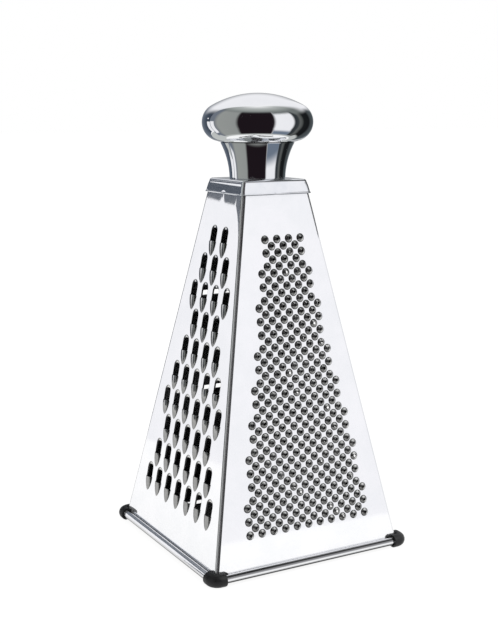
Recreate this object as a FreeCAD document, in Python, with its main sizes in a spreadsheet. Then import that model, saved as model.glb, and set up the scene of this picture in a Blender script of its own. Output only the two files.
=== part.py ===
import FreeCAD, Part

import math
import os

import Sketcher

# A four-sided pyramid grater, in millimetres.
# The origin is on the floor, under the middle of the base, and +Z is up.
# The fine face looks along -Y, the coarse face -X, the medium face +X and the slicing face +Y.

SIZES = [
    # the four leaning sheets
    ("base_width", 110.8, "across two opposite sheets at their lower edges, outside"),
    ("top_width", 37.0, "across two opposite sheets at their upper edges, outside"),
    ("panel_height", 190.8, "upright height of a sheet, its lower edge to its upper edge"),
    ("sheet", 0.6, "thickness of the stainless sheet"),
    ("bend_radius", 1.6, "outside radius of the bend at each upright corner"),
    ("seam_gap", 0.15, "open seam between the end of a bend and the next sheet"),
    ("lap_gap", 0.05, "between a lap and the sheet that covers it"),
    ("lap_width", 6.0, "how far a lap runs under the next sheet"),
    ("lap_root", 0.9, "how far a lap reaches back into its bend"),
    ("lap_start", 4.0, "height of a lap's lower end above the sheet's lower edge"),
    # the rolled lower edge
    ("curl_radius", 2.15, "outside radius of the rolled lower edge"),
    ("curl_drop", 1.31, "from the sheet's lower edge down to the middle of the roll"),
    ("curl_turn", 304.0, "degrees that the lower edge is rolled"),
    ("curl_inset", 1.7, "from the corner of two sheets to the end of the roll"),
    # fine face: burst crowns
    ("fine_pitch", 7.01, "crown to crown along a row"),
    ("fine_row", 3.44, "row to row up the slope"),
    ("fine_top", 165.1, "lower edge to the top row, up the slope"),
    ("fine_low", 15.5, "lower edge to the end of the field, up the slope"),
    ("fine_shift", 0.5, "middle of the field, right of the face's middle"),
    ("fine_margin_top", 12.6, "bare edge beside the top row"),
    ("fine_margin_low", 13.55, "bare edge beside the bottom row"),
    ("crown_width", 3.6, "across the foot of a crown"),
    ("crown_hole", 1.25, "across the hole in a crown"),
    ("crown_height", 0.9, "a crown's edge above the sheet"),
    # coarse face: hooded teeth
    ("coarse_pitch", 11.93, "tooth to tooth along a row"),
    ("coarse_row", 15.13, "row to row up the slope"),
    ("coarse_top", 163.6, "lower edge to the cutting edges of the top row"),
    ("coarse_low", 20.0, "lower edge to the end of the field, up the slope"),
    ("coarse_shift", 2.9, "middle of the field, right of the face's middle"),
    ("coarse_margin", 10.5, "bare edge beside a row"),
    ("coarse_tooth_width", 5.2, "along a cutting edge"),
    ("coarse_mouth", 7.2, "height of the opening above a cutting edge"),
    ("coarse_hood", 8.2, "length of the hood below a cutting edge"),
    ("coarse_rise", 2.1, "a cutting edge above the sheet"),
    # medium face: smaller hooded teeth
    ("medium_pitch", 10.4, "tooth to tooth along a row"),
    ("medium_row", 12.6, "row to row up the slope"),
    ("medium_top", 163.0, "lower edge to the cutting edges of the top row"),
    ("medium_low", 18.0, "lower edge to the end of the field, up the slope"),
    ("medium_margin", 9.55, "bare edge beside a row"),
    ("medium_tooth_width", 4.2, "along a cutting edge"),
    ("medium_mouth", 5.0, "height of the opening above a cutting edge"),
    ("medium_hood", 6.2, "length of the hood below a cutting edge"),
    ("medium_rise", 1.5, "a cutting edge above the sheet"),
    # slicing face: two wide blades
    ("slicer_upper", 128.3, "lower edge to the upper blade, up the slope"),
    ("slicer_lower", 70.0, "lower edge to the lower blade, up the slope"),
    ("slicer_margin", 10.7, "bare edge beside a blade"),
    ("slicer_mouth", 3.6, "height of a slot above its blade"),
    ("slicer_ramp", 8.0, "length of the ramp below a blade"),
    ("slicer_rise", 1.7, "a blade above the sheet"),
    ("slicer_flare", 3.0, "length of the sloping end of a ramp"),
    # corner feet
    ("foot_diameter", 6.9, "across a foot's arm"),
    ("foot_bend", 3.5, "radius of the foot's elbow, at the middle of its arm"),
    ("foot_reach", 6.0, "from the meeting of the arms' middles to an arm's mouth"),
    ("foot_clearance", 0.1, "between a foot and the sheet that it holds"),
    ("sole_depth", 0.15, "depth of the flat sole"),
    ("wing_reach", 8.6, "from the meeting of the arms' middles to a wing's tip"),
    ("wing_height", 1.9, "a wing above the sheet's lower edge, up the slope"),
    ("wing_tip", 0.85, "the same at the wing's tip"),
    ("wing_slant", 1.5, "length of a wing's sloping end"),
    ("wing_width", 1.3, "thickness of a wing"),
    # cap
    ("cap_sheet", 0.6, "thickness of the cap"),
    ("cap_clearance", 0.1, "between the cap's skirt and the sheets"),
    ("cap_skirt", 6.6, "from the sheets' upper edges down to the cap's lip"),
    ("cap_seat", 0.05, "between the sheets' upper edges and the cap's plate"),
    ("cap_shoulder", 1.5, "rounding of the cap's upper edges"),
    ("lip_height", 0.8, "height of the lip round the cap's lower edge"),
    ("lip_width", 0.3, "lip outside the skirt"),
    ("crimp_width", 2.4, "length of a crimp in the middle of a lip"),
    ("crimp_depth", 0.45, "depth of a crimp"),
    ("crimp_radius", 0.9, "rounding of a crimp"),
    # knob
    ("neck_foot_radius", 14.6, "neck where it stands on the cap"),
    ("neck_top_radius", 19.3, "neck where it meets the head"),
    ("neck_height", 18.5, "cap to head"),
    ("neck_flare", 40.5, "radius of the neck's hollow flank"),
    ("neck_wall", 1.0, "thickness of the neck at its floor and spigot"),
    ("neck_foot_wall", 1.4, "thickness of the neck's flank at its foot"),
    ("spigot_root", 2.0, "height of the solid ring below the spigot"),
    ("spigot_radius", 18.0, "spigot on the neck, inside the head"),
    ("spigot_height", 1.2, "height of that spigot"),
    ("spigot_gap", 0.1, "between the spigot and the head"),
    ("head_radius", 28.9, "head at its widest"),
    ("head_height", 24.9, "underside of the head at the neck, to its crown"),
    ("rim_radius", 9.7, "rounding of the head's rim"),
    ("rim_start", 78.5, "degrees below level where that rounding starts"),
    ("dome_radius", 49.0, "rounding of the head's crown"),
    ("head_wall", 2.4, "thickness of the head"),
    # screw that holds knob, neck and cap together
    ("post_radius", 5.0, "threaded post inside the knob"),
    ("screw_radius", 2.0, "shank of the screw"),
    ("thread_gap", 0.05, "between the shank and the post's thread"),
    ("screw_play", 0.3, "between the shank and the holes that it passes"),
    ("screw_reach", 15.0, "how far the shank stands above the cap"),
    ("screw_head_radius", 4.0, "head of the screw"),
    ("screw_head_height", 2.4, "height of that head"),
    ("screw_slot", 1.0, "width of the slot in that head"),
    ("screw_slot_depth", 1.1, "depth of that slot"),
    ("washer_radius", 6.5, "washer under the cap"),
    ("washer_height", 0.8, "thickness of the washer"),
]

# Lengths worked out from the sheet of sizes, as expressions.
TAPER = "((dims.base_width - dims.top_width) / 2 / dims.panel_height)"
CURL_LIFT = "(dims.foot_diameter / 2 - dims.sole_depth)"
EDGE_LIFT = f"({CURL_LIFT} + dims.curl_drop)"
CURL_OUT = f"(dims.curl_drop * {TAPER} + (dims.curl_radius - dims.sheet) * sqrt(1 + {TAPER}^2))"
ARM_OFFSET = f"(dims.base_width / 2 + {CURL_OUT})"
PANEL_TOP = f"({EDGE_LIFT} + dims.panel_height)"
CAP_UNDER = f"({PANEL_TOP} + dims.cap_seat)"
CAP_TOP = f"({CAP_UNDER} + dims.cap_sheet)"
HEAD_FOOT = f"({CAP_TOP} + dims.neck_height)"
HEAD_TOP = f"({HEAD_FOOT} + dims.head_height)"
LIP_FOOT = f"({PANEL_TOP} - dims.cap_skirt)"

# A tooth's opening narrows to these shares of its half width and height at its shoulders and its roof.
SHOULDER_WIDTH = 0.9
SHOULDER_HEIGHT = 0.62
ROOF_WIDTH = 0.42
# The middle of a cutting edge lies this share of its rise further up the slope than its ends.
EDGE_BOW = 0.12
# Flat stretches along the arch of a cutting edge.
ARCH = {"coarse": 4, "medium": 3}
# Levels closer than this are the same level.
SAME_LEVEL = 0.001

FACES = {"fine": 0, "medium": 90, "slicer": 180, "coarse": -90}
FEET = {"foot_coarse_fine": 0, "foot_fine_medium": 90, "foot_medium_slicer": 180, "foot_slicer_coarse": -90}

Vector = FreeCAD.Vector
UP = Vector(0, 0, 1)


# ---------------------------------------------------------------- document and sizes

def make_sizes(doc):
    """Write the driving dimensions into a spreadsheet with one alias each."""
    sheet = doc.addObject("Spreadsheet::Sheet", "dims")
    for row, (name, size, meaning) in enumerate(SIZES, start=1):
        sheet.set(f"A{row}", name)
        sheet.set(f"B{row}", str(size))
        sheet.set(f"C{row}", meaning)
        sheet.setAlias(f"B{row}", name)
    doc.recompute()
    return sheet


def number(doc, expression):
    """The value of an expression over the spreadsheet, as a plain number."""
    if isinstance(expression, (int, float)):
        return float(expression)
    found = doc.dims.evalExpression(expression)
    return float(getattr(found, "Value", found))


def bind(thing, **fields):
    """Tie fields of an object to expressions; __ in a name stands for a dot."""
    for name, expression in fields.items():
        thing.setExpression(name.replace("__", "."), expression)
    return thing


class Leaning:
    """The numbers of one leaning sheet. u runs along the face, v up its slope and w outward."""

    def __init__(self, doc):
        for name, _, _ in SIZES:
            setattr(self, name, number(doc, "dims." + name))
        self.taper = number(doc, TAPER)
        self.edge_lift = number(doc, EDGE_LIFT)
        self.lean = math.atan(self.taper)
        self.sin = math.sin(self.lean)
        self.cos = math.cos(self.lean)
        self.slope = self.panel_height / self.cos
        self.curl_w = self.curl_radius - self.sheet
        self.curl_v = -(self.curl_drop + self.curl_w * self.sin) / self.cos
        # upright corner of two sheets: its run in the face, and the angle through which a sheet bends there
        self.corner_tilt = math.atan(self.sin)
        self.bend_angle = math.acos(self.sin ** 2)
        setback = self.bend_radius * math.tan(self.bend_angle / 2)
        self.right_setback = setback / math.cos(self.corner_tilt)
        self.left_setback = (setback + self.seam_gap) / math.cos(self.corner_tilt)

    def half(self, v):
        """Half the width of the face at v, out to the sharp corners."""
        return self.base_width / 2 - v * self.sin

    def placement(self, turn=0):
        """From face coordinates to the model, for the face turned by that many degrees from -Y."""
        lean = FreeCAD.Rotation(Vector(1, 0, 0), 90 - math.degrees(self.lean))
        face = FreeCAD.Placement(Vector(0, -self.base_width / 2, self.edge_lift), lean)
        return FreeCAD.Placement(Vector(), FreeCAD.Rotation(UP, turn)).multiply(face)


# ---------------------------------------------------------------- pressed features of the sheets

class Pressing:
    """One feature pressed from the sheet: its loops in the two skins, and the faces between them."""

    def __init__(self, front, back, faces):
        self.front = front
        self.back = back
        self.faces = faces


def facet(*points):
    """A flat face with these corners."""
    return Part.Face(Part.makePolygon([*points, points[0]]))


def band(lower, upper, closed=True):
    """Flat faces between two rows of points, as triangles where four corners aren't in one plane."""
    faces = []
    count = len(lower)
    for i in range(count if closed else count - 1):
        j = (i + 1) % count
        a, b, c, d = lower[i], lower[j], upper[j], upper[i]
        if c.distanceToPoint(d) < 1e-9:
            faces.append(facet(a, b, c))
        elif a.distanceToPoint(d) < 1e-9:
            faces.append(facet(a, b, c))
        elif b.distanceToPoint(c) < 1e-9:
            faces.append(facet(a, b, d))
        elif abs((b - a).cross(d - a).normalize().dot(c - a)) < 1e-7:
            faces.append(facet(a, b, c, d))
        else:
            faces.append(facet(a, b, c))
            faces.append(facet(a, c, d))
    return faces


def crown(size, u, v):
    """A burst crown: the sheet pushed out round a small hole until its edge stands up."""
    def diamond(across, w):
        reach = across / math.sqrt(2)
        corners = ((reach, 0), (0, reach), (-reach, 0), (0, -reach))
        return [Vector(u + a, v + b, w) for a, b in corners]

    foot = diamond(size.crown_width, 0)
    edge = diamond(size.crown_hole, size.crown_height)
    back = diamond(size.crown_width - 2 * size.sheet / math.sqrt(2), -size.sheet)
    return Pressing(foot, back, band(foot, edge) + band(edge, back))


def tooth(size, u, v, kind):
    """A hooded tooth: a rounded opening, and below it a hood that rises to a cutting edge."""
    half = getattr(size, kind + "_tooth_width") / 2
    mouth = getattr(size, kind + "_mouth")
    hood = getattr(size, kind + "_hood")
    rise = getattr(size, kind + "_rise")

    def opening(w):
        shoulder, roof = half * SHOULDER_WIDTH, half * ROOF_WIDTH
        high = mouth * SHOULDER_HEIGHT
        outline = ((shoulder, high), (roof, mouth), (-roof, mouth), (-shoulder, high))
        return [Vector(u + a, v + b, w) for a, b in outline]

    def hoop(base):
        angles = [math.pi * i / ARCH[kind] for i in range(ARCH[kind] + 1)]
        return [
            Vector(u + half * math.cos(a), v + EDGE_BOW * rise * math.sin(a), base + rise * math.sin(a))
            for a in angles
        ]

    outer = hoop(0)
    inner = hoop(-size.sheet)
    tip = Vector(u, v - hood, 0)
    root = Vector(u, v - hood + size.sheet, -size.sheet)
    front = [outer[0], *opening(0), outer[-1], tip]
    back = [inner[0], *opening(-size.sheet), inner[-1], root]
    walls = band(front[:-1], back[:-1], closed=False)
    rim = band(outer, inner, closed=False)
    skin = [facet(a, b, tip) for a, b in zip(outer, outer[1:])]
    lining = [facet(a, b, root) for a, b in zip(inner, inner[1:])]
    return Pressing(front, back, walls + rim + skin + lining)


def blade(size, v):
    """A slicing blade right across the face: a slot, and below it a ramp that rises to the edge."""
    half = size.half(v) - size.slicer_margin
    flat = half - size.slicer_flare

    def outline(w, top):
        return [Vector(a, v + b, w) for a, b in ((half, 0), (half, top), (-half, top), (-half, 0))]

    def ramp(w, base, length):
        foot = [Vector(half, v, base), Vector(flat, v - length, base), Vector(-flat, v - length, base)]
        edge = [Vector(half, v, base), Vector(flat, v, w), Vector(-flat, v, w), Vector(-half, v, base)]
        sides = [facet(edge[0], edge[1], foot[1]), facet(edge[1], edge[2], foot[2], foot[1])]
        return foot[1:], edge, sides + [facet(edge[2], edge[3], foot[2])]

    low, edge, skin = ramp(size.slicer_rise, 0, size.slicer_ramp)
    root, lining_edge, lining = ramp(size.slicer_rise - size.sheet, -size.sheet, size.slicer_ramp)
    front = outline(0, size.slicer_mouth)
    back = outline(-size.sheet, size.slicer_mouth)
    faces = band(front, back, closed=False) + band(edge, lining_edge, closed=False) + skin + lining
    return Pressing(front + low[::-1], back + root[::-1], faces)


def staggered(size, kind, margin):
    """Places of a staggered field that keeps a bare margin beside each row."""
    pitch = getattr(size, kind + "_pitch")
    row_step = getattr(size, kind + "_row")
    top = getattr(size, kind + "_top")
    shift = getattr(size, kind + "_shift", 0.0)
    rows = int((top - getattr(size, kind + "_low")) / row_step) + 1
    places = []
    for row in range(rows):
        v = top - row * row_step
        reach = size.half(v) - margin(row / max(rows - 1, 1))
        steps = int(2 * reach / pitch) + 1
        for step in range(-steps, steps + 1):
            offset = step * pitch / 2
            if (step - row) % 2 == 1 and abs(offset) <= reach:
                places.append((shift + offset, v))
    return places


def fine_field(size):
    """Crowns of the fine face."""
    def margin(share):
        return size.fine_margin_top + (size.fine_margin_low - size.fine_margin_top) * share

    return [crown(size, u, v) for u, v in staggered(size, "fine", margin)]


def coarse_field(size):
    """Teeth of the coarse face."""
    places = staggered(size, "coarse", lambda share: size.coarse_margin)
    return [tooth(size, u, v, "coarse") for u, v in places]


def medium_field(size):
    """Teeth of the medium face."""
    places = staggered(size, "medium", lambda share: size.medium_margin)
    return [tooth(size, u, v, "medium") for u, v in places]


def slicer_field(size):
    """The two blades of the slicing face."""
    return [blade(size, size.slicer_upper), blade(size, size.slicer_lower)]


FIELDS = {"fine": fine_field, "coarse": coarse_field, "medium": medium_field, "slicer": slicer_field}


# ---------------------------------------------------------------- the leaning sheets

def pressed_sheet(size, pressings):
    """The flat part of a sheet, with its pressed features, in face coordinates."""
    low, high = size.curl_v, size.slope
    plan = [
        (size.half(low) - size.right_setback, low),
        (size.half(high) - size.right_setback, high),
        (size.left_setback - size.half(high), high),
        (size.left_setback - size.half(low), low),
    ]
    front = [Vector(u, v, 0) for u, v in plan]
    back = [Vector(u, v, -size.sheet) for u, v in plan]
    skins = []
    for outline, loops in ((front, [p.front for p in pressings]), (back, [p.back for p in pressings])):
        wires = [Part.makePolygon([*loop, loop[0]]) for loop in [outline, *loops]]
        skins.append(Part.makeFace(wires, "Part::FaceMakerBullseye"))
    faces = skins + band(front, back)
    for pressing in pressings:
        faces += pressing.faces
    shell = Part.Shell(faces)
    shell.sewShape()
    solid = Part.Solid(shell)
    if solid.Volume < 0:
        solid.reverse()
    return solid


def sector(centre, inner, outer, start, turn, along):
    """A ring sector, pushed along a vector; start and turn are in radians, in the plane across it."""
    def at(radius, angle):
        return centre[0] + centre[1] * (radius * math.cos(angle)) + centre[2] * (radius * math.sin(angle))

    def arc(radius):
        return Part.Arc(at(radius, start), at(radius, start + turn / 2), at(radius, start + turn)).toShape()

    end = start + turn
    edges = [
        arc(outer),
        Part.makeLine(at(outer, end), at(inner, end)),
        arc(inner),
        Part.makeLine(at(inner, start), at(outer, start)),
    ]
    return Part.Face(Part.Wire(Part.sortEdges(edges)[0])).extrude(along)


def rolled_edge(size):
    """The lower edge of a sheet, rolled outward into a tube, in face coordinates."""
    reach = size.base_width / 2 - size.curl_inset
    centre = (Vector(-reach, size.curl_v, size.curl_w), Vector(0, 0, -1), Vector(0, -1, 0))
    turn = math.radians(size.curl_turn)
    inner = size.curl_radius - size.sheet
    return sector(centre, inner, size.curl_radius, 0, turn, Vector(2 * reach, 0, 0))


def corner_bend(size):
    """The bend at the right of the -Y face and its lap under the next sheet, in model coordinates."""
    base = Vector(size.base_width / 2, -size.base_width / 2, size.edge_lift)
    run = Vector(-size.taper, size.taper, 1).normalize()
    own = Vector(0, -size.cos, size.sin)
    other = Vector(size.cos, 0, size.sin)
    # square to the corner's run, along the next sheet and away from the corner
    away = run.cross(other).normalize()
    half_turn = size.bend_angle / 2
    middle = base - (own + other).normalize() * (size.bend_radius / math.cos(half_turn))
    # both are made too long, and cut to level ends
    spare = run * (2 * size.bend_radius + size.curl_radius)
    along = run * size.slope + spare * 2
    centre = (middle - spare, own, (other - own * own.dot(other)).normalize())
    bend = sector(centre, size.bend_radius - size.sheet, size.bend_radius, 0, size.bend_angle, along)
    setback = size.bend_radius * math.tan(half_turn)
    near = base - spare + away * (setback - size.lap_root) - other * (size.sheet + size.lap_gap)
    far = near + away * (size.lap_root + size.lap_width)
    lap = facet(near, far, far - other * size.sheet, near - other * size.sheet).extrude(along)
    low = size.edge_lift + size.curl_v * size.cos + size.foot_clearance
    lap_low = size.edge_lift + size.lap_start
    top = size.edge_lift + size.panel_height
    return bend.common(level_slab(size, low, top)).fuse(lap.common(level_slab(size, lap_low, top)))


def level_slab(size, low, high):
    """All the room between two heights."""
    across = 2 * size.base_width
    return Part.makeBox(across, across, high - low, Vector(-across / 2, -across / 2, low))


def make_panel(doc, size, kind, turn):
    """One side of the grater: pressed sheet, rolled lower edge, corner bend and lap, in one piece."""
    flat = pressed_sheet(size, FIELDS[kind](size))
    flat = flat.fuse(rolled_edge(size))
    flat.Placement = size.placement()
    panel = doc.addObject("Part::Feature", kind + "_panel")
    panel.Shape = flat.fuse(corner_bend(size)).removeSplitter().Solids[0]
    panel.Placement = FreeCAD.Placement(Vector(), FreeCAD.Rotation(UP, turn))
    return panel


# ---------------------------------------------------------------- turned and pressed pieces

def add_profile(body, name, role, steps, offset=None):
    """A closed sketch. Each step is (x, y) for a line to that point, or (x, y, radius, side) for an arc."""
    doc = body.Document
    sketch = body.newObject("Sketcher::SketchObject", name)
    plane = next(f for f in body.Origin.OriginFeatures if f.Role == role)
    sketch.AttachmentSupport = (plane, [""])
    sketch.MapMode = "FlatFace"
    if offset is not None:
        sketch.AttachmentOffset = FreeCAD.Placement(Vector(0, 0, number(doc, offset)), FreeCAD.Rotation())
        bind(sketch, AttachmentOffset__Base__z=offset)
    points = [Vector(number(doc, s[0]), number(doc, s[1]), 0) for s in steps]
    for i, step in enumerate(steps):
        start, end = points[i - 1], points[i]
        if len(step) == 2:
            sketch.addGeometry(Part.LineSegment(start, end))
        else:
            sketch.addGeometry(Part.Arc(start, arc_middle(start, end, number(doc, step[2]), step[3]), end))
    # an arc that bulges to its left runs clockwise, and the sketch counts its end as its first point
    ends = [(2, 1) if len(step) == 4 and step[3] > 0 else (1, 2) for step in steps]
    for i, step in enumerate(steps):
        follower = (i + 1) % len(steps)
        sketch.addConstraint(Sketcher.Constraint("Coincident", i, ends[i][1], follower, ends[follower][0]))
        for axis, kind, line in ((0, "DistanceX", -2), (1, "DistanceY", -1)):
            place = points[i][axis]
            if abs(place) < 1e-9:
                sketch.addConstraint(Sketcher.Constraint("PointOnObject", i, ends[i][1], line))
                continue
            index = sketch.addConstraint(Sketcher.Constraint(kind, -1, 1, i, ends[i][1], place))
            if isinstance(step[axis], str):
                sketch.setExpression(f"Constraints[{index}]", step[axis])
        if len(step) == 4:
            index = sketch.addConstraint(Sketcher.Constraint("Radius", i, number(doc, step[2])))
            if isinstance(step[2], str):
                sketch.setExpression(f"Constraints[{index}]", step[2])
    return sketch


def arc_middle(start, end, radius, side):
    """The middle of the short arc between two points; side 1 bulges left of the run, -1 right."""
    run = end - start
    half = run.Length / 2
    bulge = radius - math.sqrt(max(radius ** 2 - half ** 2, 0.0))
    left = Vector(-run.y, run.x, 0).normalize()
    return (start + end) * 0.5 + left * (bulge * side)


def turned_body(doc, name, steps):
    """A body turned about Z from a closed half profile."""
    body = doc.addObject("PartDesign::Body", name)
    body.Label = name
    sketch = add_profile(body, name + "_profile", "XZ_Plane", steps)
    turn = body.newObject("PartDesign::Revolution", name + "_turned")
    turn.Profile = sketch
    turn.ReferenceAxis = (sketch, ["V_Axis"])
    turn.Angle = 360
    return body


def make_knob_neck(doc):
    """The flared collar between cap and head: hollow, with a floor for the screw and a spigot on top."""
    wall_top = "dims.spigot_radius - dims.neck_wall"
    return turned_body(doc, "knob_neck", [
        ("dims.screw_radius + dims.screw_play", CAP_TOP),
        ("dims.neck_foot_radius", CAP_TOP),
        ("dims.neck_top_radius", HEAD_FOOT, "dims.neck_flare", 1),
        ("dims.spigot_radius", HEAD_FOOT),
        ("dims.spigot_radius", f"{HEAD_FOOT} + dims.spigot_height"),
        (wall_top, f"{HEAD_FOOT} + dims.spigot_height"),
        (wall_top, f"{HEAD_FOOT} - dims.spigot_root"),
        ("dims.neck_foot_radius - dims.neck_foot_wall", f"{CAP_TOP} + dims.neck_wall"),
        ("dims.screw_radius + dims.screw_play", f"{CAP_TOP} + dims.neck_wall"),
    ])


def make_knob_head(doc):
    """The mushroom head: a hollow shell with a low dome, a round rim and a hole for the neck's spigot."""
    rim_x = "(dims.head_radius - dims.rim_radius)"
    dome_z = f"({HEAD_TOP} - dims.dome_radius)"
    # the rim's middle lies where its round meets the dome's round in one tangent
    rim_z = f"({dome_z} + sqrt((dims.dome_radius - dims.rim_radius)^2 - {rim_x}^2))"
    ratio = "(dims.dome_radius / (dims.dome_radius - dims.rim_radius))"
    join = (f"{rim_x} * {ratio}", f"{dome_z} + ({rim_z} - {dome_z}) * {ratio}")
    hole = "dims.spigot_radius + dims.spigot_gap"
    ceiling = f"{HEAD_TOP} - dims.head_wall"

    def on_rim(radius, angle):
        return f"{rim_x} + {radius} * cos({angle})", f"{rim_z} + {radius} * sin({angle})"

    inner = "(dims.rim_radius - dims.head_wall)"
    return turned_body(doc, "knob_head", [
        (hole, HEAD_FOOT),
        on_rim("dims.rim_radius", "-dims.rim_start"),
        ("dims.head_radius", rim_z, "dims.rim_radius", -1),
        (*join, "dims.rim_radius", -1),
        (0, HEAD_TOP, "dims.dome_radius", -1),
        (0, ceiling),
        ("2 * dims.post_radius", ceiling),
        on_rim(inner, "60"),
        on_rim(inner, "0"),
        on_rim(inner, "-60"),
        (hole, f"{HEAD_FOOT} + dims.head_wall"),
    ])


def make_knob_post(doc):
    """The threaded post inside the knob, from the neck's floor to the underside of the crown."""
    foot = f"{CAP_TOP} + dims.neck_wall"
    ceiling = f"{HEAD_TOP} - dims.head_wall"
    bore = "dims.screw_radius + dims.thread_gap"
    depth = f"{CAP_TOP} + dims.screw_reach + dims.screw_play"
    return turned_body(doc, "knob_post", [
        (bore, foot),
        ("dims.post_radius", foot),
        ("dims.post_radius", ceiling),
        (0, ceiling),
        (0, depth),
        (bore, depth),
    ])


def make_knob_screw(doc):
    """The screw under the cap, with a slotted head."""
    seat = f"{CAP_UNDER} - dims.washer_height"
    foot = f"{seat} - dims.screw_head_height"
    body = turned_body(doc, "knob_screw", [
        (0, foot),
        ("dims.screw_head_radius", foot),
        ("dims.screw_head_radius", seat),
        ("dims.screw_radius", seat),
        ("dims.screw_radius", f"{CAP_TOP} + dims.screw_reach"),
        (0, f"{CAP_TOP} + dims.screw_reach"),
    ])
    slot = add_rectangle(body, "screw_slot", "2 * dims.screw_head_radius", "dims.screw_slot / 2", foot)
    pocket = body.newObject("PartDesign::Pocket", "screw_slot_cut")
    pocket.Profile = slot
    pocket.Reversed = True
    bind(pocket, Length="dims.screw_slot_depth")
    return body


def make_washer(doc):
    """The plain washer between the screw's head and the cap."""
    foot = f"{CAP_UNDER} - dims.washer_height"
    bore = "dims.screw_radius + dims.screw_play"
    return turned_body(doc, "knob_washer", [
        (bore, foot),
        ("dims.washer_radius", foot),
        ("dims.washer_radius", CAP_UNDER),
        (bore, CAP_UNDER),
    ])


def add_rectangle(body, name, half_x, half_y, height):
    """A rectangle about the axis, at a height."""
    corners = [
        (f"-({half_x})", f"-({half_y})"),
        (half_x, f"-({half_y})"),
        (half_x, half_y),
        (f"-({half_x})", half_y),
    ]
    return add_profile(body, name, "XY_Plane", corners, offset=height)


def skirt_half(level, outward):
    """Half the width of a four-sided shape at a height, a given distance outside the sheets."""
    run = f"({level} - {EDGE_LIFT})"
    return f"(dims.base_width / 2 - {TAPER} * {run} + ({outward}) * sqrt(1 + {TAPER}^2))"


def add_frustum(doc, name, low, low_out, high, high_out, corner_round):
    """A four-sided block with rounded corners between two heights, so far outside the sheets at each."""
    block = doc.addObject("Part::Wedge", name)
    low_half = skirt_half(low, low_out)
    high_half = skirt_half(high, high_out)
    bind(block, Ymin=low, Ymax=high, Xmin=f"-{low_half}", Xmax=low_half, Zmin=f"-{low_half}", Zmax=low_half,
         X2min=f"-{high_half}", X2max=high_half, Z2min=f"-{high_half}", Z2max=high_half)
    block.Placement.Rotation = FreeCAD.Rotation(Vector(1, 0, 0), 90)

    def upright(edge):
        return abs(edge.Vertexes[0].Z - edge.Vertexes[-1].Z) > SAME_LEVEL

    return round_edges(doc, name + "_corners", block, corner_round, upright)


def round_edges(doc, name, base, radius, chosen):
    """Round those edges of a solid that a test picks."""
    doc.recompute()
    size = number(doc, radius)
    fillet = doc.addObject("Part::Fillet", name)
    fillet.Base = base
    fillet.Edges = [(i, size, size) for i, edge in enumerate(base.Shape.Edges, start=1) if chosen(edge)]
    return fillet


def make_top_cap(doc):
    """The pressed square cap that closes the top: plate, leaning skirt, lip, and a crimp in each side."""
    outside = "dims.cap_clearance + dims.cap_sheet"
    lip_out = f"{outside} + dims.lip_width"
    lip_top = f"({LIP_FOOT} + dims.lip_height)"
    outer_round = "dims.bend_radius + dims.cap_clearance + dims.cap_sheet"
    top = number(doc, CAP_TOP)

    def at_top(edge):
        return min(v.Z for v in edge.Vertexes) > top - SAME_LEVEL

    block = add_frustum(doc, "cap_block", LIP_FOOT, outside, CAP_TOP, outside, outer_round)
    rounded = round_edges(doc, "cap_shoulders", block, "dims.cap_shoulder", at_top)
    lip = add_frustum(doc, "cap_lip", LIP_FOOT, lip_out, lip_top, outside, outer_round)
    inside = add_frustum(doc, "cap_inside", f"({LIP_FOOT} - dims.lip_height)", "dims.cap_clearance",
                         CAP_UNDER, "dims.cap_clearance", "dims.bend_radius + dims.cap_clearance")
    hole = bind(doc.addObject("Part::Cylinder", "cap_hole"), Radius="dims.screw_radius + dims.screw_play",
                Height="3 * dims.cap_sheet", Placement__Base__z=f"{CAP_UNDER} - dims.cap_sheet")
    shell = doc.addObject("Part::MultiFuse", "cap_shell")
    shell.Shapes = [rounded, lip]
    cuts = doc.addObject("Part::MultiFuse", "cap_cuts")
    cuts.Shapes = [inside, hole, *cap_crimps(doc, f"({LIP_FOOT} + dims.lip_height / 2)", lip_out)]
    cap = doc.addObject("Part::Cut", "top_cap")
    cap.Base = shell
    cap.Tool = cuts
    return cap


def cap_crimps(doc, level, outward):
    """The dents pressed into the middle of the cap's lip, one on each side."""
    crimps = []
    middle = number(doc, f"{skirt_half(level, outward)} + dims.crimp_radius - dims.crimp_depth")
    for i in range(4):
        dent = bind(doc.addObject("Part::Cylinder", f"cap_crimp_{i}"), Radius="dims.crimp_radius",
                    Height="dims.crimp_width")
        lie = FreeCAD.Placement(Vector(middle, number(doc, "dims.crimp_width / 2"), number(doc, level)),
                                FreeCAD.Rotation(Vector(1, 0, 0), 90))
        dent.Placement = FreeCAD.Placement(Vector(), FreeCAD.Rotation(UP, 90 * i)).multiply(lie)
        crimps.append(dent)
    return crimps


# ---------------------------------------------------------------- corner feet

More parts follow.
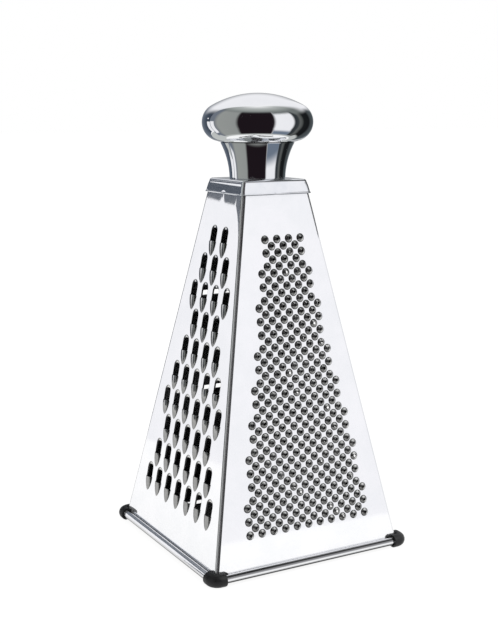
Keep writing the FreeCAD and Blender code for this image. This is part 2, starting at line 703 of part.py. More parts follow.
def make_foot(doc, size, name, turn):
    """A moulded elbow over the ends of two rolls, slotted for the sheets, with a wing above each roll."""
    def add(kind, part, **fields):
        return bind(doc.addObject(kind, f"{name}_{part}"), **fields)

    radius = "dims.foot_diameter / 2"
    straight = "dims.foot_reach - dims.foot_bend"
    start = f"-({ARM_OFFSET} - dims.foot_bend)"
    line = f"-{ARM_OFFSET}"
    elbow = add("Part::Torus", "elbow", Radius1="dims.foot_bend", Radius2=radius,
                Placement__Base__x=start, Placement__Base__y=start, Placement__Base__z=CURL_LIFT)
    elbow.Angle3 = 90
    elbow.Placement.Rotation = FreeCAD.Rotation(UP, 180)
    solids = [elbow]
    tools = []
    grip = "dims.curl_radius + dims.foot_clearance"
    inset = "(dims.curl_inset - dims.foot_clearance)"
    end = f"-(dims.base_width / 2 - {inset})"
    for along, across, rotation, face_turn, sign in (
        ("x", "y", FreeCAD.Rotation(Vector(0, 1, 0), 90), 0, -1),
        ("y", "x", FreeCAD.Rotation(Vector(1, 0, 0), -90), -90, 1),
    ):
        arm = add("Part::Cylinder", f"arm_{along}", Radius=radius, Height=straight)
        bore = add("Part::Cylinder", f"bore_{along}", Radius=grip, Height="2 * dims.foot_reach")
        for rod, first in ((arm, start), (bore, end)):
            bind(rod, Placement__Base__z=CURL_LIFT)
            bind(rod, **{f"Placement__Base__{along}": first, f"Placement__Base__{across}": line})
            rod.Placement.Rotation = rotation
        solids.append(arm)
        tools.append(bore)
        wing, slot = foot_slab_shapes(size, sign)
        for part, shape, group in (("wing", wing, solids), ("slot", slot, tools)):
            slab = doc.addObject("Part::Feature", f"{name}_{part}_{along}")
            slab.Shape = shape
            slab.Placement = size.placement(face_turn)
            group.append(slab)
    floor = add("Part::Box", "floor", Length="2 * dims.foot_reach", Width="2 * dims.foot_reach",
                Height="dims.foot_diameter", Placement__Base__x=f"{line} - dims.foot_reach",
                Placement__Base__y=f"{line} - dims.foot_reach", Placement__Base__z="-dims.foot_diameter")
    tools.append(floor)
    body = doc.addObject("Part::MultiFuse", f"{name}_body")
    body.Shapes = solids
    cuts = doc.addObject("Part::MultiFuse", f"{name}_cuts")
    cuts.Shapes = tools
    foot = doc.addObject("Part::Cut", name)
    foot.Base = body
    foot.Tool = cuts
    foot.Placement = FreeCAD.Placement(Vector(), FreeCAD.Rotation(UP, turn))
    return foot


def foot_slab_shapes(size, sign):
    """The wing above a roll and the slot for the sheet, in face coordinates; sign -1 is the left end."""
    arms = size.base_width / 2 + size.curl_drop * size.taper + size.curl_w / size.cos
    corner = size.base_width / 2 + size.sheet
    near = arms - size.wing_reach
    gap = size.foot_clearance
    sunk = -size.curl_radius / 2
    wing_plan = [(near, size.wing_tip), (near, sunk), (corner, sunk), (corner, size.wing_height),
                 (near + size.wing_slant, size.wing_height)]
    wing = facet(*[Vector(sign * u, v, gap) for u, v in wing_plan]).extrude(Vector(0, 0, size.wing_width))
    foot = Vector(-corner, size.curl_v - gap, -size.sheet - gap)
    slot = Part.makeBox(2 * corner, 2 * size.foot_diameter, size.sheet + 2 * gap, foot)
    return wing, slot


# ---------------------------------------------------------------- build, check and write

def build(doc):
    """Make every piece, and return the ones that are handed on."""
    make_sizes(doc)
    size = Leaning(doc)
    pieces = [make_panel(doc, size, kind, turn) for kind, turn in FACES.items()]
    pieces += [make_foot(doc, size, name, turn) for name, turn in FEET.items()]
    pieces += [make_top_cap(doc), make_knob_neck(doc), make_knob_head(doc), make_knob_post(doc)]
    pieces += [make_knob_screw(doc), make_washer(doc)]
    doc.recompute()
    return pieces


def check(doc, pieces):
    """Stop if an object failed, or if a piece has no sound solid."""
    for thing in doc.Objects:
        if "Invalid" in thing.State or "Error" in thing.State:
            raise RuntimeError(f"{thing.Name}: {thing.State}")
    for piece in pieces:
        shape = piece.Shape
        if shape.isNull() or not shape.isValid() or len(shape.Solids) != 1 or shape.Volume <= 0:
            raise RuntimeError(f"{piece.Label}: not one sound solid")


def main():
    doc = FreeCAD.newDocument("box_grater")
    pieces = build(doc)
    check(doc, pieces)
    os.makedirs("parts", exist_ok=True)
    for piece in pieces:
        piece.Shape.exportStep(f"parts/{piece.Label}.step")
        print(piece.Label, len(piece.Shape.Faces), "faces", round(piece.Shape.Volume, 1), "mm3")


main()
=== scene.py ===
import math

import bmesh
import bpy
import numpy as np
from mathutils import Euler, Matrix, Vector, noise
from mathutils.geometry import delaunay_2d_cdt


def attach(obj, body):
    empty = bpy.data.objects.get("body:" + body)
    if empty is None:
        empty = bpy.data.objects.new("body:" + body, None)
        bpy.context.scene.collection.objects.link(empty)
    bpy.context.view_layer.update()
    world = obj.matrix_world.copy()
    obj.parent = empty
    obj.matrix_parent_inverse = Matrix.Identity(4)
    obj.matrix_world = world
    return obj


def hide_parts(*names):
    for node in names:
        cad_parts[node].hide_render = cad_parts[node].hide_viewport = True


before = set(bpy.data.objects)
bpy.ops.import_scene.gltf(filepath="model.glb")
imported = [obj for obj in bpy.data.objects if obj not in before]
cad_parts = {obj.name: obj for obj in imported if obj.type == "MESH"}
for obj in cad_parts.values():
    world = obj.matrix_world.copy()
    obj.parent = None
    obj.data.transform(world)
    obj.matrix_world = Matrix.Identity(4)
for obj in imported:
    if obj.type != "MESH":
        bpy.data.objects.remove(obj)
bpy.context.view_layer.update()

# ---- sizes, in millimetres

MM = 0.001

# the four leaning sheets
BASE_WIDTH = 110.8
TOP_WIDTH = 37.0
PANEL_HEIGHT = 190.8
EDGE_LIFT = 4.61
SHEET = 0.6
BEND_RADIUS = 1.6
SEAM_GAP = 0.15
LAP_GAP = 0.05
LAP_WIDTH = 6.0
LAP_ROOT = 0.4
LAP_START = 4.0
CURL_RADIUS = 2.15
CURL_DROP = 1.31
CURL_TURN = 304
CURL_INSET = 1.7
FOOT_CLEARANCE = 0.1

TAPER = (BASE_WIDTH - TOP_WIDTH) / 2 / PANEL_HEIGHT
LEAN = math.atan(TAPER)
SLOPE = PANEL_HEIGHT / math.cos(LEAN)
CURL_W = CURL_RADIUS - SHEET
CURL_V = -(CURL_DROP + CURL_W * math.sin(LEAN)) / math.cos(LEAN)
BEND_ANGLE = math.acos(math.sin(LEAN) ** 2)
BEND_SETBACK = BEND_RADIUS * math.tan(BEND_ANGLE / 2)
CORNER_STRETCH = 1 / math.cos(math.atan(math.sin(LEAN)))
PANEL_TOP = EDGE_LIFT + PANEL_HEIGHT

# fields of pressed features: pitch, row step, top row, end of the field, shift, bare edges at top and foot
FINE = dict(pitch=7.01, row=3.44, top=164.95, low=15.5, shift=1.05, margins=(12.6, 13.55))
COARSE = dict(pitch=11.93, row=15.13, top=162.2, low=18.6, shift=1.85, margins=(10.5, 10.5))
MEDIUM = dict(pitch=10.4, row=12.6, top=163.0, low=18.0, shift=0.0, margins=(9.55, 9.55))
# a tooth: half its width, its opening above the cutting edge, its hood below, and the edge's rise
COARSE_TOOTH = dict(half=3.35, mouth=8.8, hood=7.8, rise=1.2)
MEDIUM_TOOTH = dict(half=2.2, mouth=5.2, hood=6.2, rise=1.1)
SLICER_BLADES = (128.3, 70.0)
SLICER = dict(margin=10.7, mouth=3.6, ramp=8.0, rise=1.7, flare=3.0)

# cap and knob
CAP_SKIRT = 6.6
CAP_SHEET = 0.6
CAP_CLEARANCE = 0.1
CAP_SEAT = 0.05
CAP_UNDER = PANEL_TOP + CAP_SEAT
CAP_TOP = CAP_UNDER + CAP_SHEET
LIP_FOOT = PANEL_TOP - CAP_SKIRT
LIP_HEIGHT = 0.8
LIP_WIDTH = 0.3
LIP_FLARE = 0.12
CAP_SHOULDER = 1.5
CRIMP_REACH = 0.72
CRIMP_DEPTH = 0.12
CRIMP_SWELL = 0.2
CAP_CORNER = 1.5
SKIRT_LEAN = 0.055
SKIRT_BOW = 0.28
NECK_FOOT = 14.6
NECK_TOP = 19.3
NECK_HEIGHT = 18.5
NECK_FLARE = 40.5
NECK_WALL = 1.0
SPIGOT_RADIUS = 18.0
SPIGOT_HEIGHT = 1.2
SPIGOT_CLEARANCE = 0.1
SCREW_HOLE = 2.4
HEAD_FOOT = CAP_TOP + NECK_HEIGHT
HEAD_HEIGHT = 24.9
HEAD_TOP = HEAD_FOOT + HEAD_HEIGHT
HEAD_RADIUS = 28.9
RIM_RADIUS = 9.7
RIM_START = 78.5
DOME_RADIUS = 49.0
HEAD_WALL = 2.4

TURNS = {"fine": 0, "medium": 90, "slicer": 180, "coarse": -90}

# looks of a panel's faces, by place in its list of materials; a ramp has the skin's, with creases round it
SKIN, PRESSED, LINING, RAMP = 0, 1, 2, 3

# how close points are welded, and how sharp a bend, in degrees, still looks round
WELD = 0.0005
CREASE = 38


# ---- gathering a mesh

class Shape:
    """Points and faces of one piece, in millimetres. A tone is painted shade: it runs from 0, painted near
    black, to 1, the polish's own colour.
    """

    def __init__(self):
        self.points = []
        self.painted_shades = []
        self.faces = []
        self.looks = []

    def add(self, points, faces, look=SKIN, painted_shades=None):
        start = len(self.points)
        self.points.extend(tuple(p) for p in points)
        self.painted_shades.extend(painted_shades or [1.0] * len(points))
        self.faces.extend(tuple(start + i for i in face) for face in faces)
        self.looks.extend([look] * len(faces))

    def net(self, rows, look=SKIN, closed=False, flip=False, painted_shades=None):
        """Four-sided faces between rows of as many points each; closed joins the ends of each row."""
        count = len(rows[0])
        faces = []
        for r in range(len(rows) - 1):
            for i in range(count if closed else count - 1):
                j = (i + 1) % count
                face = (r * count + i, r * count + j, (r + 1) * count + j, (r + 1) * count + i)
                faces.append(face[::-1] if flip else face)
        if painted_shades and not isinstance(painted_shades[0], list):
            painted_shades = [[tone] * count for tone in painted_shades]
        self.add([p for row in rows for p in row], faces, look, sum(painted_shades, []) if painted_shades else None)


def show(name, data):
    """An object of the scene with this mesh, lamp or camera."""
    thing = bpy.data.objects.new(name, data)
    bpy.context.scene.collection.objects.link(thing)
    return thing


def make_piece(name, shape, materials, replaces):
    """A mesh object from a shape: welded, creased at sharp bends and between looks, riding on the root."""
    mesh = bpy.data.meshes.new(name)
    mesh.from_pydata([Vector(p) * MM for p in shape.points], [], shape.faces)
    for material in materials:
        mesh.materials.append(material)
    mesh.polygons.foreach_set("material_index", shape.looks)
    # the painted shade of each point goes to the mesh as its attribute tone
    painted_shades = [shape.painted_shades[i] for face in shape.faces for i in face]
    mesh.attributes.new("tone", "FLOAT", "CORNER").data.foreach_set("value", painted_shades)
    work = bmesh.new()
    work.from_mesh(mesh)
    bmesh.ops.remove_doubles(work, verts=work.verts, dist=WELD * MM)
    bmesh.ops.dissolve_degenerate(work, edges=work.edges, dist=WELD * MM / 5)
    for edge in work.edges:
        looks = {face.material_index for face in edge.link_faces}
        edge.smooth = len(looks) == 1 and edge.calc_face_angle(0.0) < math.radians(CREASE)
    for face in work.faces:
        face.smooth = True
    work.to_mesh(mesh)
    work.free()
    piece = show(name, mesh)
    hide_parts(replaces)
    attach(piece, "root")
    return piece


# ---- materials

# fine marks: noise scales in waves per metre, how far rubbing draws them out, and depths in millimetres
RUB_SCALE = 2600.0
RUB_LENGTHENING = 0.06
RUB_DEPTH = 0.2
PATCH_SCALE = 240.0
GRAIN_SCALE = 5200.0
GRAIN_DEPTH = 0.1
# the near black that painted shade on polished metal darkens towards
PAINTED_SHADE_BLACK = (20, 20, 21)


def linear(*rgb):
    """A colour given as it looks on a screen, 0 to 255, as the shader needs it."""
    out = []
    for c in rgb:
        c /= 255
        out.append(c / 12.92 if c <= 0.04045 else ((c + 0.055) / 1.055) ** 2.4)
    return (*out, 1.0)


class Nodes:
    """Short ways to add and join shader nodes."""

    def __init__(self, tree):
        self.tree = tree
        tree.nodes.clear()

    def surface(self, shader):
        """The shader that the material shows."""
        self.add("ShaderNodeOutputMaterial", {"Surface": shader.outputs[0]})

    def join(self, value, socket):
        if isinstance(value, bpy.types.NodeSocket):
            self.tree.links.new(value, socket)
        else:
            socket.default_value = value

    def add(self, kind, inputs=None, **settings):
        node = self.tree.nodes.new(kind)
        for key, value in settings.items():
            setattr(node, key, value)
        for key, value in (inputs or {}).items():
            self.join(value, node.inputs[key])
        return node

    def maths(self, operation, a, b=0.0):
        return self.add("ShaderNodeMath", {0: a, 1: b}, operation=operation).outputs[0]

    def times(self, a, b):
        return self.maths("MULTIPLY", a, b)

    def less(self, a, b):
        return self.maths("SUBTRACT", a, b)

    def between(self, value, low, high, out_low=0.0, out_high=1.0):
        """A soft step of value between low and high."""
        inputs = {"Value": value, "From Min": low, "From Max": high, "To Min": out_low, "To Max": out_high}
        return self.add("ShaderNodeMapRange", inputs, interpolation_type="SMOOTHSTEP").outputs[0]

    def inside(self, value, low, high, soft):
        """1 where value lies between low and high, with soft edges."""
        rise = self.between(value, low - soft, low + soft)
        fall = self.between(value, high - soft, high + soft, 1.0, 0.0)
        return self.times(rise, fall)

    def mix(self, share, a, b):
        node = self.add("ShaderNodeMix", data_type="RGBA")
        self.join(share, node.inputs[0])
        self.join(a, node.inputs[6])
        self.join(b, node.inputs[7])
        return node.outputs[2]

    def ramp(self, value, low, high, stops):
        """A colour that follows value, between low and high, through stops of (value, screen colour)."""
        share = self.maths("DIVIDE", self.less(value, low), high - low)
        node = self.add("ShaderNodeValToRGB", {0: share})
        elements = node.color_ramp.elements
        for at, colour in stops:
            place = (at - low) / (high - low)
            element = elements[0] if (at, colour) == stops[0] else elements.new(place)
            element.position = place
            element.color = linear(*colour)
        elements.remove(elements[-1])
        return node.outputs[0]


def new_material(name):
    """A material and its empty tree."""
    material = bpy.data.materials.new(name)
    material.use_nodes = True
    return material, Nodes(material.node_tree)


def polished(name, colour, dark, metallic, roughness, smear, scratch=0.02, scale=60.0, paint_shade=False):
    """Polished metal: cloudy tone, roughness that varies with handling, and fine rubbing marks.

    Where shade is painted on it, the mesh's tone darkens it towards black: painted shade, and painted
    reflections of dark things beside it."""
    material, nodes = new_material(name)
    place = nodes.add("ShaderNodeTexCoord").outputs["Object"]
    cloud = nodes.add("ShaderNodeTexNoise", {
        "Vector": place, "Scale": scale, "Detail": 5.0, "Roughness": 0.6})
    stretch = nodes.add("ShaderNodeMapping", {"Vector": place, "Scale": (1.0, 1.0, RUB_LENGTHENING)})
    rub_marks_and_painted_light = nodes.add("ShaderNodeTexNoise", {"Vector": stretch.outputs[0], "Scale": RUB_SCALE, "Detail": 3.0})
    tone = nodes.mix(nodes.between(cloud.outputs["Fac"], 0.3, 0.7), linear(*dark), linear(*colour))
    rough = nodes.between(cloud.outputs["Fac"], 0.35, 0.75, roughness, roughness + smear)
    # painted shade: the mesh's tone darkens the colour towards near black, for shade and for reflections of
    # dark things
    if paint_shade:
        shade = nodes.add("ShaderNodeAttribute", attribute_name="tone").outputs["Fac"]
        tone = nodes.mix(shade, linear(*PAINTED_SHADE_BLACK), tone)
    bump = nodes.add("ShaderNodeBump", {
        "Height": rub_marks_and_painted_light.outputs["Fac"], "Strength": scratch, "Distance": RUB_DEPTH * MM})
    nodes.surface(nodes.add("ShaderNodeBsdfPrincipled", {
        "Base Color": tone, "Metallic": metallic, "Roughness": rough, "Normal": bump.outputs[0]}))
    return material


def moulded(name, colour, light, roughness):
    """Satin moulded plastic: a fine spark-eroded grain, and cloudy patches rubbed a little lighter."""
    material, nodes = new_material(name)
    place = nodes.add("ShaderNodeTexCoord").outputs["Object"]
    cloud = nodes.add("ShaderNodeTexNoise", {"Vector": place, "Scale": PATCH_SCALE, "Detail": 4.0})
    grain = nodes.add("ShaderNodeTexNoise", {"Vector": place, "Scale": GRAIN_SCALE, "Detail": 2.0})
    tone = nodes.mix(nodes.between(cloud.outputs["Fac"], 0.35, 0.7), linear(*colour), linear(*light))
    rough = nodes.between(cloud.outputs["Fac"], 0.3, 0.7, roughness, roughness + 0.1)
    bump = nodes.add("ShaderNodeBump", {
        "Height": grain.outputs["Fac"], "Strength": 0.25, "Distance": GRAIN_DEPTH * MM})
    nodes.surface(nodes.add("ShaderNodeBsdfPrincipled", {
        "Base Color": tone, "Roughness": rough, "Specular IOR Level": 0.3, "Normal": bump.outputs[0]}))
    return material


SHEET_SKIN = polished("sheet_polish", (248, 248, 250), (243, 244, 246), 0.88, 0.035, 0.035, paint_shade=True)
SHEET_PRESSED = polished("pressed_polish", (236, 236, 234), (214, 214, 212), 0.94, 0.08, 0.08,
                         scratch=0.06, scale=700.0, paint_shade=True)
# painted shade: the sheets' inside, cut edges and laps in dark grey, where the steel itself is as bright as
# its skin
LINING_IN_PAINTED_SHADE = polished("sheet_inside_painted_shade", (118, 119, 121), (92, 93, 95), 0.9, 0.2, 0.12)
CHROME = polished("knob_chrome", (242, 243, 244), (237, 238, 240), 1.0, 0.015, 0.02,
                  scratch=0.004, scale=40.0)
CAP_POLISH = polished("cap_polish", (242, 243, 245), (234, 236, 240), 0.94, 0.025, 0.025,
                      scale=120.0, paint_shade=True)
ZINC = polished("zinc", (190, 191, 190), (160, 161, 160), 1.0, 0.22, 0.14, scratch=0.08, scale=300.0)
BLACK_PLASTIC = moulded("black_plastic", (13, 13, 14), (22, 22, 24), 0.42)


# ---- the leaning sheets

def half_width(v):
    """Half the width of a face at v up its slope, out to the sharp corners."""
    return BASE_WIDTH / 2 - v * math.sin(LEAN)


# slight bends: inward under the cap, except at its crimps, and on one face outward beside its corner bend
TOP_BEND = 0.42
TOP_BEND_START = 177.5
CRIMP_SPREAD = 1.9
SIDE_BENDS = {"fine": 0.0, "medium": 0.0, "slicer": 0.0, "coarse": 0.08}
SIDE_BEND_START = 151.0
SIDE_BEND_FULL = 182.0
SIDE_BEND_END = 187.5
SIDE_BEND_REACH = 5.2
SIDE_BEND_FADE = 8.5
SIDE_BEND_SOFT = 0.25


def settle(u, v, side_bend):
    """How far, outward, the slight bends take a point of a sheet off its plane; side_bend is a slope."""
    top = np.clip((v - TOP_BEND_START) / (SLOPE - TOP_BEND_START), 0, 1) ** 2
    crimp = 1 - np.exp(-(u / CRIMP_SPREAD) ** 2)
    reach = SIDE_BEND_REACH * np.exp((np.minimum(v, SIDE_BEND_FULL) - SIDE_BEND_FULL) / SIDE_BEND_FADE)
    inside = reach - np.clip(half_width(v) - u - BEND_SETBACK, 0, None)
    corner = SIDE_BEND_SOFT * np.log1p(np.exp(np.clip(inside / SIDE_BEND_SOFT, -30, 30)))
    below_cap = 1 - np.clip((v - SIDE_BEND_END) / (SLOPE - SIDE_BEND_END), 0, 1)
    return -TOP_BEND * top * crimp + side_bend * corner * below_cap


def turned(point, degrees):
    """A point turned about the grater's axis."""
    a = math.radians(degrees)
    x, y, z = point
    return (x * math.cos(a) - y * math.sin(a), x * math.sin(a) + y * math.cos(a), z)


def placed(points, turn, side_bend):
    """Points (u along a face, v up its slope, w outward), bent and turned into the grater's frame."""
    p = np.array(points, float).reshape(-1, 3)
    u, v = p[:, 0], p[:, 1]
    w = p[:, 2] + settle(u, v, side_bend)
    y = -BASE_WIDTH / 2 + v * math.sin(LEAN) - w * math.cos(LEAN)
    z = EDGE_LIFT + v * math.cos(LEAN) + w * math.sin(LEAN)
    return np.stack(turned((u, y, z), turn), axis=1)


def staggered(field):
    """Places of a staggered field that keeps a bare edge beside each row."""
    rows = int((field["top"] - field["low"]) / field["row"]) + 1
    top_margin, low_margin = field["margins"]
    places = []
    for row in range(rows):
        v = field["top"] - row * field["row"]
        reach = half_width(v) - top_margin - (low_margin - top_margin) * row / (rows - 1)
        steps = int(2 * reach / field["pitch"]) + 1
        for step in range(-steps, steps + 1):
            offset = step * field["pitch"] / 2
            if (step - row) % 2 == 1 and abs(offset) <= reach:
                places.append((field["shift"] + offset, v))
    return places


class Face:
    """A side of the grater while it is made: its shape, and the loops that pressings cut in its skins."""

    def __init__(self):
        self.shape = Shape()
        self.front = []
        self.back = []


def along(place, knots):
    """How high a line through knots of (place, height) runs at a place."""
    places, heights = zip(*knots)
    return float(np.interp(place, places, heights))


CROWN_SIDES = 16
CROWN_RISE = 1.05
CROWN_LEAN = 0.09
BURR_WIDTH = 0.3
BURR_HEIGHT = 0.24
BURR_SCALE = 1.6
# a crown's rings, from its foot over its torn edge to the sheet's back: radius, height, painted shade (tone),
# raggedness
CROWN = [
    (2.27, 0.0, 0.5, 0.0), (2.22, 0.02, 0.22, 0.0), (2.12, 0.09, 0.17, 0.0), (1.97, 0.23, 0.34, 0.0),
    (1.76, 0.42, 0.75, 0.0), (1.5, 0.62, 1.0, 0.0), (1.24, 0.8, 0.75, 0.15), (1.02, 0.94, 0.4, 0.3),
    (0.86, 1.03, 0.38, 0.6), (0.74, 1.08, 0.9, 0.9), (0.68, 0.98, 0.12, 0.8), (0.82, 0.52, 0.03, 0.0),
    (1.1, 0.14, 0.03, 0.0), (1.42, -0.26, 0.03, 0.0), (1.7, -0.5, 0.03, 0.0), (1.84, -0.585, 0.04, 0.0),
    (1.94, -0.6, 0.1, 0.0)]
# painted light on a crown, by degrees round it from its right: painted highlights at its lower right and its
# upper left, painted shade between
CROWN_PAINTED_LIGHT = [
    (0, 0.3), (40, 0.3), (75, 0.9), (125, 1.0), (165, 0.55), (195, 0.25), (255, 0.25), (285, 0.6),
    (305, 1.25), (325, 0.9), (345, 0.35), (360, 0.3)]


def press_crown(face, u, v, seed):
    """A burst crown: the sheet pushed out round a small hole, with a ragged edge."""
    angles = [2 * math.pi * i / CROWN_SIDES for i in range(CROWN_SIDES)]
    lean_u = CROWN_LEAN * noise.noise(Vector((seed * 1.7, 3.1, 0.0)))
    lean_v = CROWN_LEAN * noise.noise(Vector((seed * 1.3, 8.2, 0.0)))
    burrs = [noise.noise(Vector((math.cos(a) * BURR_SCALE, math.sin(a) * BURR_SCALE, seed * 2.3)))
             for a in angles]
    rings = []
    for radius, height, _, rag in CROWN:
        share = max(height, 0.0) / CROWN_RISE
        ring = []
        for a, burr in zip(angles, burrs):
            r = radius * (1 + BURR_WIDTH * burr * rag)
            ring.append((u + r * math.cos(a) + lean_u * share, v + r * math.sin(a) + lean_v * share,
                         height + BURR_HEIGHT * burr * rag))
        rings.append(ring)
    # painted light and shade round the crown, ring by ring and by angle round it
    painted_lights = [along(math.degrees(a), CROWN_PAINTED_LIGHT) for a in angles]
    painted_shades = [[min(1.0, tone * rub_marks_and_painted_light) for rub_marks_and_painted_light in painted_lights] for _, _, tone, _ in CROWN]
    face.shape.net(rings, PRESSED, closed=True, painted_shades=painted_shades)
    face.front.append(rings[0])
    face.back.append(rings[-1])


TOOTH_ACROSS = 14
TOOTH_ALONG = 12
TOOTH_ROOF = 12
TOOTH_NARROWING = 0.92
# painted light on a hood over its ridge and left flank, by degrees over it from its right
TOOTH_FLANK = [(85, 0.4), (100, 0.34), (113, 0.12), (180, 0.04)]
# the painted shade at its right, in degrees: by the cutting edge, by the tip, and the share of the hood
# between
DARK_EDGE = 40
DARK_TIP = 6
DARK_SHARE = 0.75
# the painted highlight on upper hoods: its strength, where up the slope it begins, and over what height it
# grows
HOOD_PAINTED_HIGHLIGHT = 1.2
GLOW_FROM = 50
GLOW_SPAN = 60
# how far a ground edge reaches and falls, on a tooth and on a blade
TOOTH_GROUND = (0.12, 0.22)
BLADE_GROUND = (0.25, 0.3)
# an opening's wall, from the skin inward: depth, inset, drop of its top, and tones of painted shade at its
# sides and of painted light at its top
THROAT = [(0.0, 0.0, 0.0, 0.3, 0.3), (0.05, 0.15, 0.3, 0.06, 0.2), (0.12, 0.35, 0.6, 0.05, 0.9),
          (0.35, 0.55, 1.4, 0.04, 1.0), (SHEET, 0.6, 1.45, 0.04, 0.1)]


def press_tooth(face, u, v, tooth):
    """A hooded tooth: a round-topped opening, and below it a hood that tapers from its cutting edge."""
    half, mouth, hood, rise = tooth["half"], tooth["mouth"], tooth["hood"], tooth["rise"]
    arch = [math.pi * i / TOOTH_ACROSS for i in range(TOOTH_ACROSS + 1)]

    def opening(depth, inset, drop):
        """The opening's outline at a depth, from its right end over its top to its left end."""
        reach = half - inset
        straight = mouth - half
        side = [(reach * TOOTH_NARROWING, v), (reach, v), (reach, v + straight / 2)]
        roof = []
        for i in range(TOOTH_ROOF + 1):
            a = math.pi * i / TOOTH_ROOF
            roof.append((u + reach * math.cos(a), v + straight + (half - drop) * math.sin(a)))
        outline = [(u + x, y) for x, y in side] + roof + [(u - x, y) for x, y in reversed(side)]
        return [(x, y, -depth) for x, y in outline]

    def hoop(s, depth):
        """A hoop over the hood, at a share s of its length below the cutting edge, so deep under its skin."""
        width = half * TOOTH_NARROWING * (1 - s ** 2.2) ** 0.62
        height = rise * (1 - s ** 1.7)
        row = []
        for a in arch:
            over = math.sin(a) ** 0.85
            row.append((u + width * math.cos(a), v - hood * s + 0.1 * rise * over * (1 - s),
                        height * over - depth))
        return row

    def rub_marks_and_painted_light(a, s):
        """Painted light on the hood: painted shade on its right flank, widest by the cutting edge, and in
        upper rows a painted highlight by its cutting edge.
        """
        dark = DARK_TIP + (DARK_EDGE - DARK_TIP) * max(0.0, 1 - s / DARK_SHARE)
        shade = along(math.degrees(a), [(0, 0.03), (dark, 0.04), (dark + 9, 0.4), *TOOTH_FLANK])
        glow = HOOD_PAINTED_HIGHLIGHT * min(max((v - GLOW_FROM) / GLOW_SPAN, 0.0), 1.0)
        return shade * (1 + glow * max(1 - 1.7 * s, -0.15))

    steps = [i / TOOTH_ALONG for i in range(TOOTH_ALONG + 1)]
    outer = [hoop(s, 0.0) for s in steps]
    inner = [hoop(s, SHEET) for s in steps]
    reach, fall = TOOTH_GROUND
    ground = [(x, y + reach * math.sin(a), z - fall * math.sin(a)) for (x, y, z), a in zip(outer[0], arch)]
    # painted light and shade on the hood's skin, and painted shade on its ground edge and underside
    face.shape.net(outer, PRESSED, flip=True, painted_shades=[[rub_marks_and_painted_light(a, s) for a in arch] for s in steps])
    face.shape.net([outer[0], ground, inner[0]], PRESSED, painted_shades=[0.3, 0.15, 0.05])
    face.shape.net(inner, PRESSED, painted_shades=[0.08] * len(inner))
    throat = [opening(depth, inset, drop) for depth, inset, drop, _, _ in THROAT]
    front, back = throat[0], throat[-1]
    back[0], back[-1] = inner[0][0], inner[0][-1]
    # the painted highlight runs over the top of the opening's wall, and painted shade down its sides
    top = [math.sin(math.pi * min(max(i - 3, 0), TOOTH_ROOF) / TOOTH_ROOF) ** 5 for i in range(len(front))]
    painted_shades = [[low + (high - low) * share for share in top] for _, _, _, low, high in THROAT]
    face.shape.net(throat, PRESSED, flip=True, painted_shades=painted_shades)
    for loops, wall, hoops in ((face.front, front, outer), (face.back, back, inner)):
        left, right = [row[-1] for row in hoops[1:]], [row[0] for row in hoops[1:-1]]
        loops.append(wall + left + right[::-1])


BLADE_ACROSS = 48
BLADE_ALONG = 12
SLOT_CORNER = 1.0
SLOT_CORNER_STEPS = 4


def press_blade(face, v):
    """A slicing blade right across the face: a slot, and below it a ramp that rises to the ground edge."""
    half = half_width(v) - SLICER["margin"]
    flat = half - SLICER["flare"]
    mouth, length, rise = SLICER["mouth"], SLICER["ramp"], SLICER["rise"]

    def lift(x):
        """How far up the blade stands at x, from 0 at its ends to 1 over its flat middle."""
        share = min(max((half - abs(x)) / (half - flat), 0.0), 1.0)
        return share * share * (3 - 2 * share)

    spread = [half * math.sin(math.pi / 2 * (2 * i / BLADE_ACROSS - 1)) for i in range(BLADE_ACROSS + 1)]

    def sweep(s, base, top):
        """A line across the ramp, at a share s of its length below the ground edge."""
        climb = (1 - s) ** 0.9 * (1 - 0.25 * s)
        return [(x, v - length * s * lift(x) ** 0.4, base + (top - base) * lift(x) * climb) for x in spread]

    outer = [sweep(i / BLADE_ALONG, 0.0, rise) for i in range(BLADE_ALONG + 1)]
    inner = [sweep(i / BLADE_ALONG, -SHEET, rise - SHEET) for i in range(BLADE_ALONG + 1)]
    reach, fall = BLADE_GROUND
    ground = [(x, y + reach * lift(x), z - fall * lift(x)) for x, y, z in outer[0]]
    face.shape.net(outer, RAMP)
    # painted shade on the ground edge, darkest where it turns under
    face.shape.net([outer[0], ground, inner[0]], PRESSED, flip=True, painted_shades=[0.95, 0.8, 0.2])
    face.shape.net(inner, LINING, flip=True)

    def slot(w):
        """The slot's outline above the ground edge, from its right end to its left end."""
        quarter = [math.pi / 2 * i / SLOT_CORNER_STEPS for i in range(SLOT_CORNER_STEPS + 1)]
        right = [(half - SLOT_CORNER * (1 - math.cos(a)), v + mouth - SLOT_CORNER * (1 - math.sin(a)), w)
                 for a in quarter]
        left = [(-x, y, z) for x, y, z in reversed(right)]
        return [(half, v, w), *right, *left, (-half, v, w)]

    front, back = slot(0.0), slot(-SHEET)
    # painted shade down the slot's wall
    face.shape.net([front, back], PRESSED, flip=True, painted_shades=[0.5, 0.15])
    face.front.append(front + outer[-1][1:-1])
    face.back.append(back + inner[-1][1:-1])


def flat_skin(shape, outline, loops, w, look, grid):
    """A skin, flat as yet, with the loops cut out of its outline; the grid's points let it bend."""
    points = [Vector((p[0], p[1])) for p in outline]
    polygons = [list(range(len(outline)))]
    for loop in loops:
        polygons.append(list(range(len(points), len(points) + len(loop))))
        points.extend(Vector((p[0], p[1])) for p in loop)
    points.extend(Vector(g) for g in grid)
    found, _, faces, _, _, origins = delaunay_2d_cdt(points, [], polygons, 1, 1e-5)
    kept = [face for face, origin in zip(faces, origins) if list(origin) == [0]]
    if w < 0:
        kept = [face[::-1] for face in kept]
    shape.add([(p.x, p.y, w) for p in found], kept, look)


EDGE_STEPS = 24
ROLL_STEPS = 56
